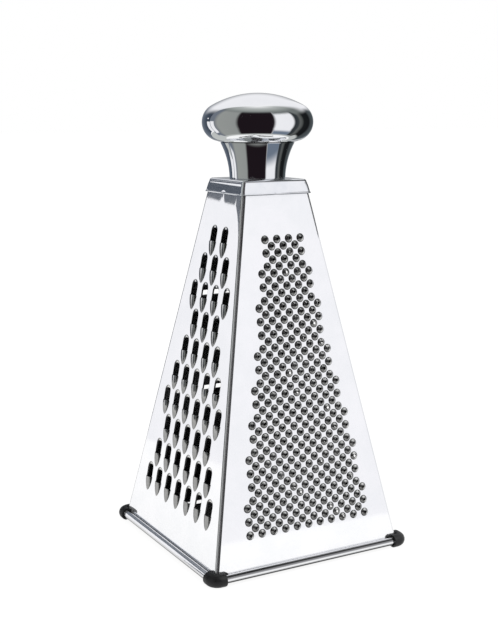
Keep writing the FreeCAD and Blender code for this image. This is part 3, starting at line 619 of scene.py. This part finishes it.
# painted shade and painted reflections on a rolled edge, by degrees round it from the sheet
OTHER_ROLL = [
    (0, 0.0), (140, 0.0), (150, 0.12), (158, 0.5), (166, 0.85), (180, 0.95), (186, 0.5), (192, 0.32),
    (206, 0.2), (213, 0.02), (222, 0.0), (230, 0.15), (240, 0.4), (250, 0.85), (CURL_TURN, 0.9)]
COARSE_ROLL = [
    (0, 0.0), (156, 0.0), (161, 0.3), (167, 0.9), (172, 0.75), (178, 0.6), (185, 0.75), (191, 1.0),
    (CURL_TURN, 1.0)]


def roll(shape, knots):
    """The lower edge, rolled outward into a tube."""
    reach = BASE_WIDTH / 2 - CURL_INSET
    spots = [-reach + 2 * reach * i / EDGE_STEPS for i in range(EDGE_STEPS + 1)]
    turns = [CURL_TURN * i / ROLL_STEPS for i in range(ROLL_STEPS + 1)]
    # painted shade and painted reflections round the rolled edge, from the table given
    painted_shades = [along(a, knots) for a in turns]

    def line(radius, degrees):
        a = math.radians(degrees)
        return [(x, CURL_V - radius * math.sin(a), CURL_W - radius * math.cos(a)) for x in spots]

    outer = [line(CURL_RADIUS, a) for a in turns]
    inner = [line(CURL_RADIUS - SHEET, a) for a in turns]
    shape.net(outer, SKIN, flip=True, painted_shades=painted_shades)
    shape.net(inner, LINING)
    shape.net([outer[-1], inner[-1]], SKIN, flip=True)
    for end, turned_over in ((0, False), (-1, True)):
        shape.net([[row[end] for row in outer], [row[end] for row in inner]], LINING, flip=turned_over)


# painted shade and painted reflections on a corner bend, by steps round it from its own face
COARSE_CORNER = [1.0, 0.25, 0.15, 0.5, 1.0, 1.0, 1.0, 1.0, 0.95, 0.75, 0.45, 0.28, 0.18, 0.12, 0.08]
OTHER_CORNER = [1.0, 0.9, *[0.85] * 11, 0.8, 0.6]


def corner_bend(shape, turn, side_bend, painted_shades):
    """The bend at the right of a face, and its lap under the next sheet, in the grater's frame."""
    run = np.array([-TAPER, TAPER, 1.0]) / math.sqrt(1 + 2 * TAPER ** 2)
    own = np.array([0.0, -math.cos(LEAN), math.sin(LEAN)])
    other = np.array([math.cos(LEAN), 0.0, math.sin(LEAN)])
    corner = np.array([BASE_WIDTH / 2, -BASE_WIDTH / 2, EDGE_LIFT])
    middle = corner - (own + other) / np.linalg.norm(own + other) * (BEND_RADIUS / math.cos(BEND_ANGLE / 2))
    side = other - own * own.dot(other)
    side /= np.linalg.norm(side)
    low = EDGE_LIFT + CURL_V * math.cos(LEAN) + FOOT_CLEARANCE
    offsets = [float(settle(half_width(v), v, side_bend)) for v in np.linspace(0, SLOPE, EDGE_STEPS + 1)]

    def fade(p):
        """How far a point of the bend follows its own face, from 1 there to 0 at the next face."""
        away = abs((p - corner).dot(own))
        return max(0.0, 1 - away / BEND_RADIUS)

    def upright(point, start, follow=True):
        """A line along the corner through a point, which may follow its face's bends."""
        levels = np.linspace(start, PANEL_TOP, EDGE_STEPS + 1)
        line = [point + run * ((z - point[2]) / run[2]) for z in levels]
        if follow:
            line = [p + own * offset * fade(p) for p, offset in zip(line, offsets)]
        return [turned(p, turn) for p in line]

    def arc(radius):
        angles = np.linspace(0, BEND_ANGLE, len(painted_shades))
        return [upright(middle + radius * (own * math.cos(a) + side * math.sin(a)), low) for a in angles]

    outer, inner = arc(BEND_RADIUS), arc(BEND_RADIUS - SHEET)
    shape.net(outer, RAMP, flip=True, painted_shades=painted_shades)
    shape.net(inner, LINING)
    # painted shade on the bend's edge at the seam
    shape.net([outer[-1], inner[-1]], SKIN, flip=True, painted_shades=[0.3, 0.1])
    shape.net([[row[0] for row in outer], [row[0] for row in inner]], LINING)
    shape.net([[row[-1] for row in outer], [row[-1] for row in inner]], SKIN, flip=True)
    away = np.cross(run, other)
    away /= np.linalg.norm(away)
    near = corner + away * (BEND_SETBACK - LAP_ROOT) - other * (SHEET + LAP_GAP)
    far = near + away * (LAP_WIDTH + LAP_ROOT)
    start = EDGE_LIFT + LAP_START
    strip = [upright(p, start, False) for p in (near, far, far - other * SHEET, near - other * SHEET)]
    shape.net([*strip, strip[0]], LINING)
    for end, corners in ((0, (3, 2, 1, 0)), (-1, (0, 1, 2, 3))):
        shape.add([row[end] for row in strip], [corners], LINING)


SIDE_STEPS = 80
# the points that let a skin bend: a grid over its upper end, with a bare edge and a step for each skin,
# and below the grid columns of points, so far from the corner bend
GRID_FROM = 172.6
GRID_REACH = 24
GRID_EDGE = 0.8
FRONT_STEP = 0.9
BACK_STEP = 2.4
COLUMNS = (0.7, 1.5, 2.5, 3.8)
COLUMN_STEP = 1.5


def make_panel(kind, press, *features):
    """One side of the grater: a sheet with its features pressed, rolled edge, corner bend and lap."""
    face = Face()
    press(face, *features)
    right = BEND_SETBACK * CORNER_STRETCH
    left = (BEND_SETBACK + SEAM_GAP) * CORNER_STRETCH
    levels = [CURL_V + (SLOPE - CURL_V) * i / SIDE_STEPS for i in range(SIDE_STEPS + 1)]

    def plan(w):
        """The sheet's outline, with points along its sides and its upper edge."""
        points = [(half_width(v) - right, v) for v in levels]
        start, end = half_width(SLOPE) - right, left - half_width(SLOPE)
        points += [(start + (end - start) * i / EDGE_STEPS, SLOPE) for i in range(1, EDGE_STEPS)]
        points += [(left - half_width(v), v) for v in reversed(levels)]
        return [(u, v, w) for u, v in points]

    def grid(step):
        """Points, so far apart, where the sheet bends: below its upper edge and beside its corner bend."""
        top = [(u, v) for v in np.arange(GRID_FROM, SLOPE - GRID_EDGE / 2, step)
               for u in np.arange(-GRID_REACH, GRID_REACH + 0.1, step)
               if left + GRID_EDGE < half_width(v) + u and u < half_width(v) - right - GRID_EDGE]
        return top + [(half_width(v) - right - away, v)
                      for v in np.arange(SIDE_BEND_START, GRID_FROM, COLUMN_STEP) for away in COLUMNS]

    front, back = plan(0.0), plan(-SHEET)
    flat_skin(face.shape, front, face.front, 0.0, SKIN, grid(FRONT_STEP))
    flat_skin(face.shape, back, face.back, -SHEET, LINING, grid(BACK_STEP))
    face.shape.net([front, back], LINING, flip=True)
    roll(face.shape, COARSE_ROLL if kind == "coarse" else OTHER_ROLL)
    turn, side_bend = TURNS[kind], SIDE_BENDS[kind]
    face.shape.points = [tuple(p) for p in placed(face.shape.points, turn, side_bend)]
    corner_bend(face.shape, turn, side_bend, COARSE_CORNER if kind == "coarse" else OTHER_CORNER)
    materials = (SHEET_SKIN, SHEET_PRESSED, LINING_IN_PAINTED_SHADE, SHEET_SKIN)
    return make_piece(f"{kind}_face", face.shape, materials, f"{kind}_panel")


def press_crowns(face, field):
    for seed, (u, v) in enumerate(staggered(field)):
        press_crown(face, u, v, seed)


def press_teeth(face, field, tooth):
    for u, v in staggered(field):
        press_tooth(face, u, v, tooth)


def press_blades(face, levels):
    for v in levels:
        press_blade(face, v)


# ---- cap, knob and feet

CAP_CORNER_STEPS = 10
CAP_SIDE_STEPS = 32
# painted shade and painted highlights on the cap over the fine face, ring by ring up its lip and its
# shoulder; the rest is as polished
LIP_TONES = (0.1, 0.1, 0.25, 1.0, 1.0, 1.0, 1.0)
SHOULDER_TONES = (1.0, 0.75, 0.3, 0.3, 0.75, 1.0, 1.0, 1.0, 1.0, 1.0)
SKIRT_SHARES = (0.12, 0.3, 0.5, 0.65, 0.78, 0.9, 1.0)
# the cap's plate from inside: how far in its flat ends, the flat's corners, and its fall to the skirt
PLATE_INSET = 1.2
PLATE_CORNER = 0.6
PLATE_FALL = 0.6


def square_ring(half, corner, z, dent=0.0):
    """A level square with rounded corners, dented in the middle of each side."""
    points = []
    straight = half - corner
    for side in range(4):
        for i in range(CAP_SIDE_STEPS):
            x = straight * (2 * i / CAP_SIDE_STEPS - 1)
            inward = dent * math.exp(-(x / CRIMP_REACH) ** 2)
            points.append(turned((x, inward - half, z), 90 * side))
        for i in range(CAP_CORNER_STEPS):
            a = math.radians(-90 + 90 * i / CAP_CORNER_STEPS)
            x, y = straight + corner * math.cos(a), -straight + corner * math.sin(a)
            points.append(turned((x, y, z), 90 * side))
    return points


def cap_half(z, out):
    """Half the cap's width at a height, so far outside the sheets."""
    return BASE_WIDTH / 2 - TAPER * (z - EDGE_LIFT) + out * math.sqrt(1 + TAPER ** 2)


def make_cap():
    """The pressed cap: plate, round shoulders, leaning skirt, and a lip crimped amid each side."""
    shape = Shape()
    rings, painted_shades = [], []

    def ring(half, corner, z, dent=0.0, tone=1.0):
        rings.append(square_ring(half, corner, z, dent))
        # painted shade lies over the fine face only; the other sides keep the polish's own colour
        over_fine = CAP_SIDE_STEPS + 1
        painted_shades.append([tone] * over_fine + [1.0] * (len(rings[0]) - over_fine))

    inner_corner = BEND_RADIUS + CAP_CLEARANCE
    inner = cap_half(CAP_UNDER, CAP_CLEARANCE)
    ring(inner - PLATE_INSET, PLATE_CORNER, CAP_UNDER)
    ring(inner - 0.25, inner_corner, CAP_UNDER - 0.05)
    for z in (CAP_UNDER - PLATE_FALL, LIP_FOOT + 0.2):
        ring(cap_half(z, CAP_CLEARANCE), inner_corner, z)
    ring(cap_half(LIP_FOOT, CAP_CLEARANCE + LIP_FLARE), inner_corner, LIP_FOOT)

    out = CAP_CLEARANCE + CAP_SHEET
    for i, tone in enumerate(LIP_TONES):
        a = math.pi * i / (len(LIP_TONES) - 1)
        z = LIP_FOOT + LIP_HEIGHT / 2 * (1 - math.cos(a))
        half = cap_half(z, out + LIP_WIDTH * math.sin(a) ** 0.6)
        ring(half, CAP_CORNER + LIP_WIDTH, z, CRIMP_DEPTH + CRIMP_SWELL * math.sin(a), tone)
    lip_top = LIP_FOOT + LIP_HEIGHT
    ring(cap_half(lip_top + 0.15, out), CAP_CORNER, lip_top + 0.15, 0.08)

    skirt_top = CAP_TOP - CAP_SHOULDER
    for share in SKIRT_SHARES:
        z = lip_top + (skirt_top - lip_top) * share
        ring(cap_half(z, out) - SKIRT_LEAN * share - SKIRT_BOW * share ** 3, CAP_CORNER, z)
    flat = cap_half(skirt_top, out) - SKIRT_LEAN - SKIRT_BOW - CAP_SHOULDER
    for i, tone in enumerate(SHOULDER_TONES, 1):
        a = math.pi / 2 * i / len(SHOULDER_TONES)
        shrink = CAP_SHOULDER * math.cos(a)
        corner = CAP_CORNER - CAP_SHOULDER + shrink + 0.2
        ring(flat + shrink, corner, skirt_top + CAP_SHOULDER * math.sin(a), 0.0, tone)
    ring(flat - 0.4, 0.2, CAP_TOP)

    count = len(rings[0])
    shape.net(rings, SKIN, closed=True, painted_shades=painted_shades)
    shape.add(rings[-1], [tuple(range(count))], SKIN)
    shape.add(rings[0], [tuple(range(count))[::-1]], SKIN)
    return make_piece("cap", shape, (CAP_POLISH,), "top_cap")


def arc_points(start, end, radius, count):
    """Points of the short arc between two (x, z) points that bulges to the left of the run."""
    a, b = Vector(start), Vector(end)
    run = b - a
    left = Vector((-run.y, run.x)).normalized()
    depth = radius - math.sqrt(radius ** 2 - (run.length / 2) ** 2)
    centre = (a + b) / 2 + left * (depth - radius)
    first = math.atan2(a.y - centre.y, a.x - centre.x)
    last = math.atan2(b.y - centre.y, b.x - centre.x)
    sweep = (last - first + math.pi) % (2 * math.pi) - math.pi
    angles = [first + sweep * i / count for i in range(count + 1)]
    return [(centre.x + radius * math.cos(t), centre.y + radius * math.sin(t)) for t in angles]


def lathe(shape, profile, sides=144):
    """Turn a profile of (radius, height) points about the grater's axis."""
    rows = []
    for radius, z in profile:
        r = max(radius, 0.0005)
        rows.append([(r * math.cos(2 * math.pi * i / sides), r * math.sin(2 * math.pi * i / sides), z)
                     for i in range(sides)])
    shape.net(rows, SKIN, closed=True)


FLARE_STEPS = 40
# the small roundings at the neck's foot and under its seam, outward and up from the sharp corners
FOOT_ROUND = ((-0.3, 0.0), (-0.1, 0.04), (0.0, 0.12), (0.05, 0.25))
SEAM_ROUND = ((0.0, -0.25), (-0.03, -0.1), (-0.15, -0.02), (-0.35, 0.0))


def make_neck():
    """The flared chrome collar, rounded at its foot and at the seam under the head."""
    shape = Shape()
    foot = [(NECK_FOOT + x, CAP_TOP + z) for x, z in FOOT_ROUND]
    seam = [(NECK_TOP + x, HEAD_FOOT + z) for x, z in SEAM_ROUND]
    flank = arc_points(foot[-1], seam[0], NECK_FLARE, FLARE_STEPS)
    bore = SPIGOT_RADIUS - NECK_WALL
    spigot_top = HEAD_FOOT + SPIGOT_HEIGHT
    spigot = [(SPIGOT_RADIUS, HEAD_FOOT), (SPIGOT_RADIUS, spigot_top), (bore, spigot_top)]
    inside = [(bore, HEAD_FOOT - 2 * NECK_WALL), (NECK_FOOT - 1.4 * NECK_WALL, CAP_TOP + NECK_WALL),
              (SCREW_HOLE, CAP_TOP + NECK_WALL), (SCREW_HOLE, CAP_TOP)]
    lathe(shape, [(SCREW_HOLE, CAP_TOP), *foot[:-1], *flank, *seam[1:], *spigot, *inside])
    return make_piece("neck", shape, (CHROME,), "knob_neck")


RIM_STEPS = 48
DOME_STEPS = 40
HOLLOW_TOP = 10.0


def make_head():
    """The mushroom head: a low dome that rolls over a round rim to a narrow flat underside."""
    shape = Shape()
    rim_x = HEAD_RADIUS - RIM_RADIUS
    dome_z = HEAD_TOP - DOME_RADIUS
    rim_z = dome_z + math.sqrt((DOME_RADIUS - RIM_RADIUS) ** 2 - rim_x ** 2)
    join = math.atan2(rim_z - dome_z, rim_x)
    start = -math.radians(RIM_START)
    hole = SPIGOT_RADIUS + SPIGOT_CLEARANCE
    low_x, low_z = rim_x + RIM_RADIUS * math.cos(start), rim_z + RIM_RADIUS * math.sin(start)
    profile = [(hole, HEAD_FOOT + HEAD_WALL), (hole, HEAD_FOOT)]
    profile += [(hole + (low_x - hole) * s, HEAD_FOOT + (low_z - HEAD_FOOT) * s ** 1.5)
                for s in (0.3, 0.6, 0.85)]
    for i in range(RIM_STEPS + 1):
        a = start + (join - start) * i / RIM_STEPS
        profile.append((rim_x + RIM_RADIUS * math.cos(a), rim_z + RIM_RADIUS * math.sin(a)))
    for i in range(1, DOME_STEPS + 1):
        a = join + (math.pi / 2 - join) * i / DOME_STEPS
        profile.append((DOME_RADIUS * math.cos(a), dome_z + DOME_RADIUS * math.sin(a)))
    profile += [(0.0, HEAD_TOP - HEAD_WALL), (HOLLOW_TOP, HEAD_TOP - HEAD_WALL)]
    for degrees in (60, 30, 0, -30, -60):
        a = math.radians(degrees)
        reach = RIM_RADIUS - HEAD_WALL
        profile.append((rim_x + reach * math.cos(a), rim_z + reach * math.sin(a)))
    profile.append((hole, HEAD_FOOT + HEAD_WALL))
    lathe(shape, profile, 160)
    return make_piece("head", shape, (CHROME,), "knob_head")


def dress(node, material):
    """Give a CAD node its material."""
    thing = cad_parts[node]
    thing.data.materials.clear()
    thing.data.materials.append(material)
    return thing


FOOT_VOXEL = 0.22


def soften_foot(node):
    """Round the moulded foot's edges, as its mould does."""
    thing = dress(node, BLACK_PLASTIC)
    remesh = thing.modifiers.new("moulded", "REMESH")
    remesh.mode = "VOXEL"
    remesh.voxel_size = FOOT_VOXEL * MM
    remesh.use_smooth_shade = True
    smooth = thing.modifiers.new("rounded", "SMOOTH")
    smooth.factor = 0.5
    smooth.iterations = 6


# ---- camera

# the photograph's size, focal length and middle in pixels; the camera's place in metres, its turns in degrees
PHOTO_WIDTH, PHOTO_HEIGHT = 498, 644
FOCAL_PIXELS = 1097.8
MIDDLE_X, MIDDLE_Y = 241.8, 365.1
CAMERA_PLACE = (-0.29035, -0.50536, 0.22927)
CAMERA_YAW = 29.05
CAMERA_DIP = 12.93
CAMERA_ROLL = -0.13
SENSOR = 36.0


def make_camera():
    """The photograph's camera, as fitted to it."""
    data = bpy.data.cameras.new("camera")
    data.sensor_width = SENSOR
    data.lens = FOCAL_PIXELS * SENSOR / PHOTO_HEIGHT
    data.shift_x = (PHOTO_WIDTH / 2 - MIDDLE_X) / PHOTO_HEIGHT
    data.shift_y = (MIDDLE_Y - PHOTO_HEIGHT / 2) / PHOTO_HEIGHT
    data.clip_start = 0.01
    camera = show("camera", data)
    aim = Euler((math.radians(90 - CAMERA_DIP), 0.0, math.radians(-CAMERA_YAW))).to_matrix()
    roll_over = Euler((0.0, 0.0, math.radians(CAMERA_ROLL))).to_matrix()
    camera.rotation_euler = (aim @ roll_over).to_euler()
    camera.location = CAMERA_PLACE
    bpy.context.scene.camera = camera


# ---- floor and light

def seen_directly(nodes):
    """1 for the camera's rays and for those that mirrors and clear things pass on."""
    path = nodes.add("ShaderNodeLightPath")
    seen = nodes.maths("MAXIMUM", path.outputs["Is Camera Ray"], path.outputs["Is Glossy Ray"])
    return nodes.maths("MAXIMUM", seen, path.outputs["Is Transmission Ray"])


def stage_mesh(name, points, faces, material):
    """A mesh of the stage, in metres."""
    mesh = bpy.data.meshes.new(name)
    mesh.from_pydata(points, [], faces)
    mesh.materials.append(material)
    thing = show(name, mesh)
    return thing


def square(reach, z):
    return [(-reach, -reach, z), (reach, -reach, z), (reach, reach, z), (-reach, reach, z)]


FLOOR_REACH = 12.0
FLOOR_GLOW = 1.06
FLOOR_GLOW_SHARE = 0.86
SHADE_REACH = 54.0
SHADE_HEIGHT = 0.4


def make_floor():
    """A pale floor that looks white and keeps a little of the grater's shadow."""
    material, nodes = new_material("floor")
    share = nodes.times(seen_directly(nodes), FLOOR_GLOW_SHARE)
    matt = nodes.add("ShaderNodeBsdfDiffuse", {"Color": linear(246, 246, 246)})
    bright = nodes.add("ShaderNodeEmission", {"Color": (1, 1, 1, 1), "Strength": FLOOR_GLOW})
    nodes.surface(nodes.add("ShaderNodeMixShader", {0: share, 1: matt.outputs[0], 2: bright.outputs[0]}))
    stage_mesh("floor", square(FLOOR_REACH, 0.0), [(0, 1, 2, 3)], material)


def make_shade():
    """A dark card inside the base, where the glowing floor would light the hollow too much."""
    material, nodes = new_material("shade")
    nodes.surface(nodes.add("ShaderNodeBsdfDiffuse", {"Color": linear(84, 85, 86)}))
    stage_mesh("shade", square(SHADE_REACH * MM, SHADE_HEIGHT * MM), [(0, 1, 2, 3)], material)


def make_world():
    """White where it is seen, and a little weaker as a light."""
    world = bpy.data.worlds.new("studio")
    bpy.context.scene.world = world
    world.use_nodes = True
    nodes = Nodes(world.node_tree)
    strength = nodes.between(seen_directly(nodes), 0.0, 1.0, 0.85, 1.0)
    back = nodes.add("ShaderNodeBackground", {"Color": (1, 1, 1, 1), "Strength": strength})
    nodes.add("ShaderNodeOutputWorld", {"Surface": back.outputs[0]})


LAMP_AIM = Vector((0, 0, 0.1))


def make_lamp(name, place, size, watts):
    """A soft square lamp that shines at the grater."""
    data = bpy.data.lights.new(name, "AREA")
    data.size = size
    data.energy = watts
    lamp = show(name, data)
    lamp.location = place
    lamp.rotation_euler = (LAMP_AIM - Vector(place)).to_track_quat("-Z", "Y").to_euler()


# What polished metal mirrors: a shell with a floor close round the knob, and a wall further out. Sizes are in
# metres. Turns are in degrees to the right of the camera's direction, and heights in degrees above the level,
# both seen from the reflector's middle.
KNOB_MIDDLE = 0.2247
SHELL_RADIUS = 0.1
SHELL_FOOT = 0.178
SHELL_MOUTH = 0.037
SHELL_TURNS = (-102, 157)
SHELL_TOP = 88
SHELL_STEPS = 32
WALL_MIDDLE = 0.1
WALL_RADIUS = 0.45
WALL_FOOT = 0.001
WALL_SHOULDER = 0.6
WALL_STEPS = 16
AROUND_STEPS = 120
WHITE = (248, 248, 251)
SLATE = (112, 119, 130)
BLUE_GREY = (112, 124, 140)
PALE_GREY = (198, 201, 199)
GREY = (154, 157, 154)
BLACK = (30, 23, 28)
SHELL_BAND = [
    (-180, WHITE), (-106, SLATE), (-90, SLATE), (-84, (138, 141, 142)), (-79, GREY), (-41, (150, 153, 151)),
    (-35, BLACK), (28, BLACK), (33, WHITE), (67, WHITE), (72, (46, 52, 56)), (80, (58, 63, 65)),
    (85, (98, 100, 99)), (91, (78, 81, 80)), (96, (28, 30, 31)), (115, (24, 26, 28)), (124, (70, 75, 77)),
    (142, (80, 88, 92)), (151, (128, 133, 136)), (158, WHITE)]
WALL_BAND = [
    (-180, (168, 170, 173)), (-170, (150, 153, 158)), (-160, (112, 120, 132)), (-128, (66, 75, 88)),
    (-106, (52, 60, 73)), (-94, (60, 67, 78)), (-82, GREY), (-44, (148, 151, 149)), (-34, (56, 53, 56)),
    (26, (52, 50, 54)), (38, WHITE), (150, WHITE), (168, (168, 170, 173))]
SKY = [(0, (112, 117, 116)), (45, (118, 123, 122)), (58, (158, 163, 160)), (70, (184, 188, 186)),
       (90, (208, 210, 209))]
BACK_SKY = [(0, WHITE), (60, WHITE), (90, (226, 228, 228))]
# a white bar and a blue patch on the shell; a white card and bar on the wall, their heights in metres
SHELL_BAR_TURNS, SHELL_BAR_HEIGHTS = (-100.5, -89.5), (-34, 3)
PATCH_TURNS = (31, 71)
CARD_TURNS = (-124.8, -109)
CARD_TOP = 0.237 - WALL_MIDDLE
BAR_TURNS = (-125.2, -120.3)
BAR_HEIGHTS = (0.29 - WALL_MIDDLE, 0.316 - WALL_MIDDLE)
CARD_SOFT = 0.001


def directions(nodes):
    """Turn and height, in degrees, of a reflector's point as seen from its middle, and its place up."""
    place = nodes.add("ShaderNodeTexCoord").outputs["Object"]
    parts = nodes.add("ShaderNodeSeparateXYZ", {0: place})
    x, y, z = (parts.outputs[i] for i in range(3))
    squares = nodes.maths("ADD", nodes.times(x, x), nodes.times(y, y))
    flat = nodes.maths("SQRT", squares)
    turn = nodes.maths("ARCTAN2", x, nodes.times(y, -1.0))
    turn = nodes.times(turn, 180 / math.pi)
    height = nodes.times(nodes.maths("ARCTAN2", z, flat), 180 / math.pi)
    return turn, height, z


def sky(nodes, turn, height):
    """The ceiling's colour: grey over the camera's side, white over the back."""
    back = nodes.between(nodes.maths("ABSOLUTE", turn), 95, 135)
    return nodes.mix(back, nodes.ramp(height, 0, 90, SKY), nodes.ramp(height, 0, 90, BACK_SKY))


def paint_shell(nodes):
    """The studio as the knob mirrors it."""
    turn, height, _ = directions(nodes)
    colour = nodes.ramp(turn, -180, 180, SHELL_BAND)
    bar_height = nodes.inside(height, *SHELL_BAR_HEIGHTS, 1.5)
    bar = nodes.times(nodes.inside(turn, *SHELL_BAR_TURNS, 1.0), bar_height)
    colour = nodes.mix(bar, colour, linear(*WHITE))
    patch = nodes.inside(turn, *PATCH_TURNS, 1.0)
    faded = nodes.times(patch, nodes.between(height, -40, -29, 1.0, 0.0))
    colour = nodes.mix(faded, colour, linear(*BLUE_GREY))
    # the ceiling begins lower on the right, over the patch and behind
    top = nodes.less(nodes.between(turn, 66, 84, 42, 24), nodes.times(patch, 10))
    top = nodes.less(top, nodes.between(turn, 125, 152, 0, 13))
    rise = nodes.less(height, top)
    colour = nodes.mix(nodes.between(rise, -3, 11), colour, sky(nodes, turn, height))
    # pale grey below the knob and where the shell is open
    beside = nodes.between(nodes.maths("ABSOLUTE", turn), 90, 98, 0.0, 7.0)
    under = nodes.between(nodes.less(height, beside), -50, -45, 1.0, 0.0)
    behind = nodes.maths("ADD", nodes.between(turn, -106, -102, 1.0, 0.0), nodes.between(turn, 156, 160))
    return nodes.mix(nodes.maths("MAXIMUM", under, behind), colour, linear(*PALE_GREY))


def paint_wall(nodes):
    """The studio as the rest of the grater mirrors it."""
    turn, height, z = directions(nodes)
    colour = nodes.ramp(turn, -180, 180, WALL_BAND)
    side = nodes.inside(turn, *CARD_TURNS, 0.6)
    below_top = nodes.between(z, CARD_TOP - CARD_SOFT, CARD_TOP + CARD_SOFT, 1.0, 0.0)
    card = nodes.times(side, below_top)
    bar_turn = nodes.inside(turn, *BAR_TURNS, 0.3)
    bar = nodes.times(bar_turn, nodes.inside(z, *BAR_HEIGHTS, CARD_SOFT))
    colour = nodes.mix(nodes.maths("MAXIMUM", card, bar), colour, linear(*WHITE))
    # the ceiling begins higher on the right, and lower at the back
    not_behind = nodes.between(turn, 120, 150, 1.0, 0.0)
    right = nodes.times(nodes.between(turn, 36, 44, 0.0, 14.0), not_behind)
    back = nodes.between(nodes.maths("ABSOLUTE", turn), 120, 150, 0.0, -11.0)
    rise = nodes.less(height, nodes.maths("ADD", nodes.maths("ADD", right, back), 34.0))
    return nodes.mix(nodes.between(rise, 0.0, 20.0), colour, sky(nodes, turn, height))


def make_reflector(name, rows, middle, paint):
    """A card that only reflections see, painted on its inner side and clear from behind."""
    shape = Shape()
    shape.net(rows, flip=True)
    material, nodes = new_material(name)
    glow = nodes.add("ShaderNodeEmission", {"Color": paint(nodes), "Strength": 1.0})
    clear = nodes.add("ShaderNodeBsdfTransparent")
    side = nodes.add("ShaderNodeNewGeometry").outputs["Backfacing"]
    nodes.surface(nodes.add("ShaderNodeMixShader", {0: side, 1: glow.outputs[0], 2: clear.outputs[0]}))
    card = stage_mesh(name, shape.points, shape.faces, material)
    card.location = middle
    card.rotation_euler = (0, 0, math.radians(-CAMERA_YAW))
    for ray in ("camera", "diffuse", "shadow", "transmission", "volume_scatter"):
        setattr(card, "visible_" + ray, False)


def around(radius, height, low=-180, high=180):
    """A level row of points about the middle, between two turns from the camera's direction."""
    turns = [math.radians(low + (high - low) * i / AROUND_STEPS) for i in range(AROUND_STEPS + 1)]
    return [(radius * math.sin(t), -radius * math.cos(t), height) for t in turns]


def make_studio():
    """The shell and its floor round the knob, and the wall with its round ceiling."""
    foot = SHELL_FOOT - KNOB_MIDDLE
    lowest = math.asin(foot / SHELL_RADIUS)
    climb = math.radians(SHELL_TOP) - lowest
    tilts = [lowest + climb * i / SHELL_STEPS for i in range(SHELL_STEPS + 1)]
    rows = [around(SHELL_RADIUS * math.cos(t), SHELL_RADIUS * math.sin(t), *SHELL_TURNS) for t in tilts]
    make_reflector("shell", rows, (0, 0, KNOB_MIDDLE), paint_shell)
    rows = [around(SHELL_MOUTH, foot), around(SHELL_RADIUS * math.cos(lowest), foot)]
    make_reflector("shell_floor", rows, (0, 0, KNOB_MIDDLE), paint_shell)
    rows = [around(WALL_RADIUS, height - WALL_MIDDLE) for height in (WALL_FOOT, WALL_SHOULDER)]
    for i in range(1, WALL_STEPS + 1):
        t = math.pi / 2 * i / WALL_STEPS
        height = WALL_SHOULDER - WALL_MIDDLE + WALL_RADIUS * math.sin(t)
        rows.append(around(WALL_RADIUS * math.cos(t) + 1e-5, height))
    make_reflector("wall", rows, (0, 0, WALL_MIDDLE), paint_wall)


# ---- build

make_panel("fine", press_crowns, FINE)
make_panel("coarse", press_teeth, COARSE, COARSE_TOOTH)
make_panel("medium", press_teeth, MEDIUM, MEDIUM_TOOTH)
make_panel("slicer", press_blades, SLICER_BLADES)
make_cap()
make_neck()
make_head()
for foot in ("foot_coarse_fine", "foot_fine_medium", "foot_medium_slicer", "foot_slicer_coarse"):
    soften_foot(foot)
for fastener in ("knob_post", "knob_screw", "knob_washer"):
    dress(fastener, ZINC)

make_floor()
make_shade()
make_world()
make_studio()
make_lamp("key_light", (0.9, -1.1, 1.5), 1.2, 14)
make_lamp("fill_light", (-1.3, -0.5, 1.2), 1.0, 7)
make_camera()
bpy.context.scene.view_settings.view_transform = "Standard"
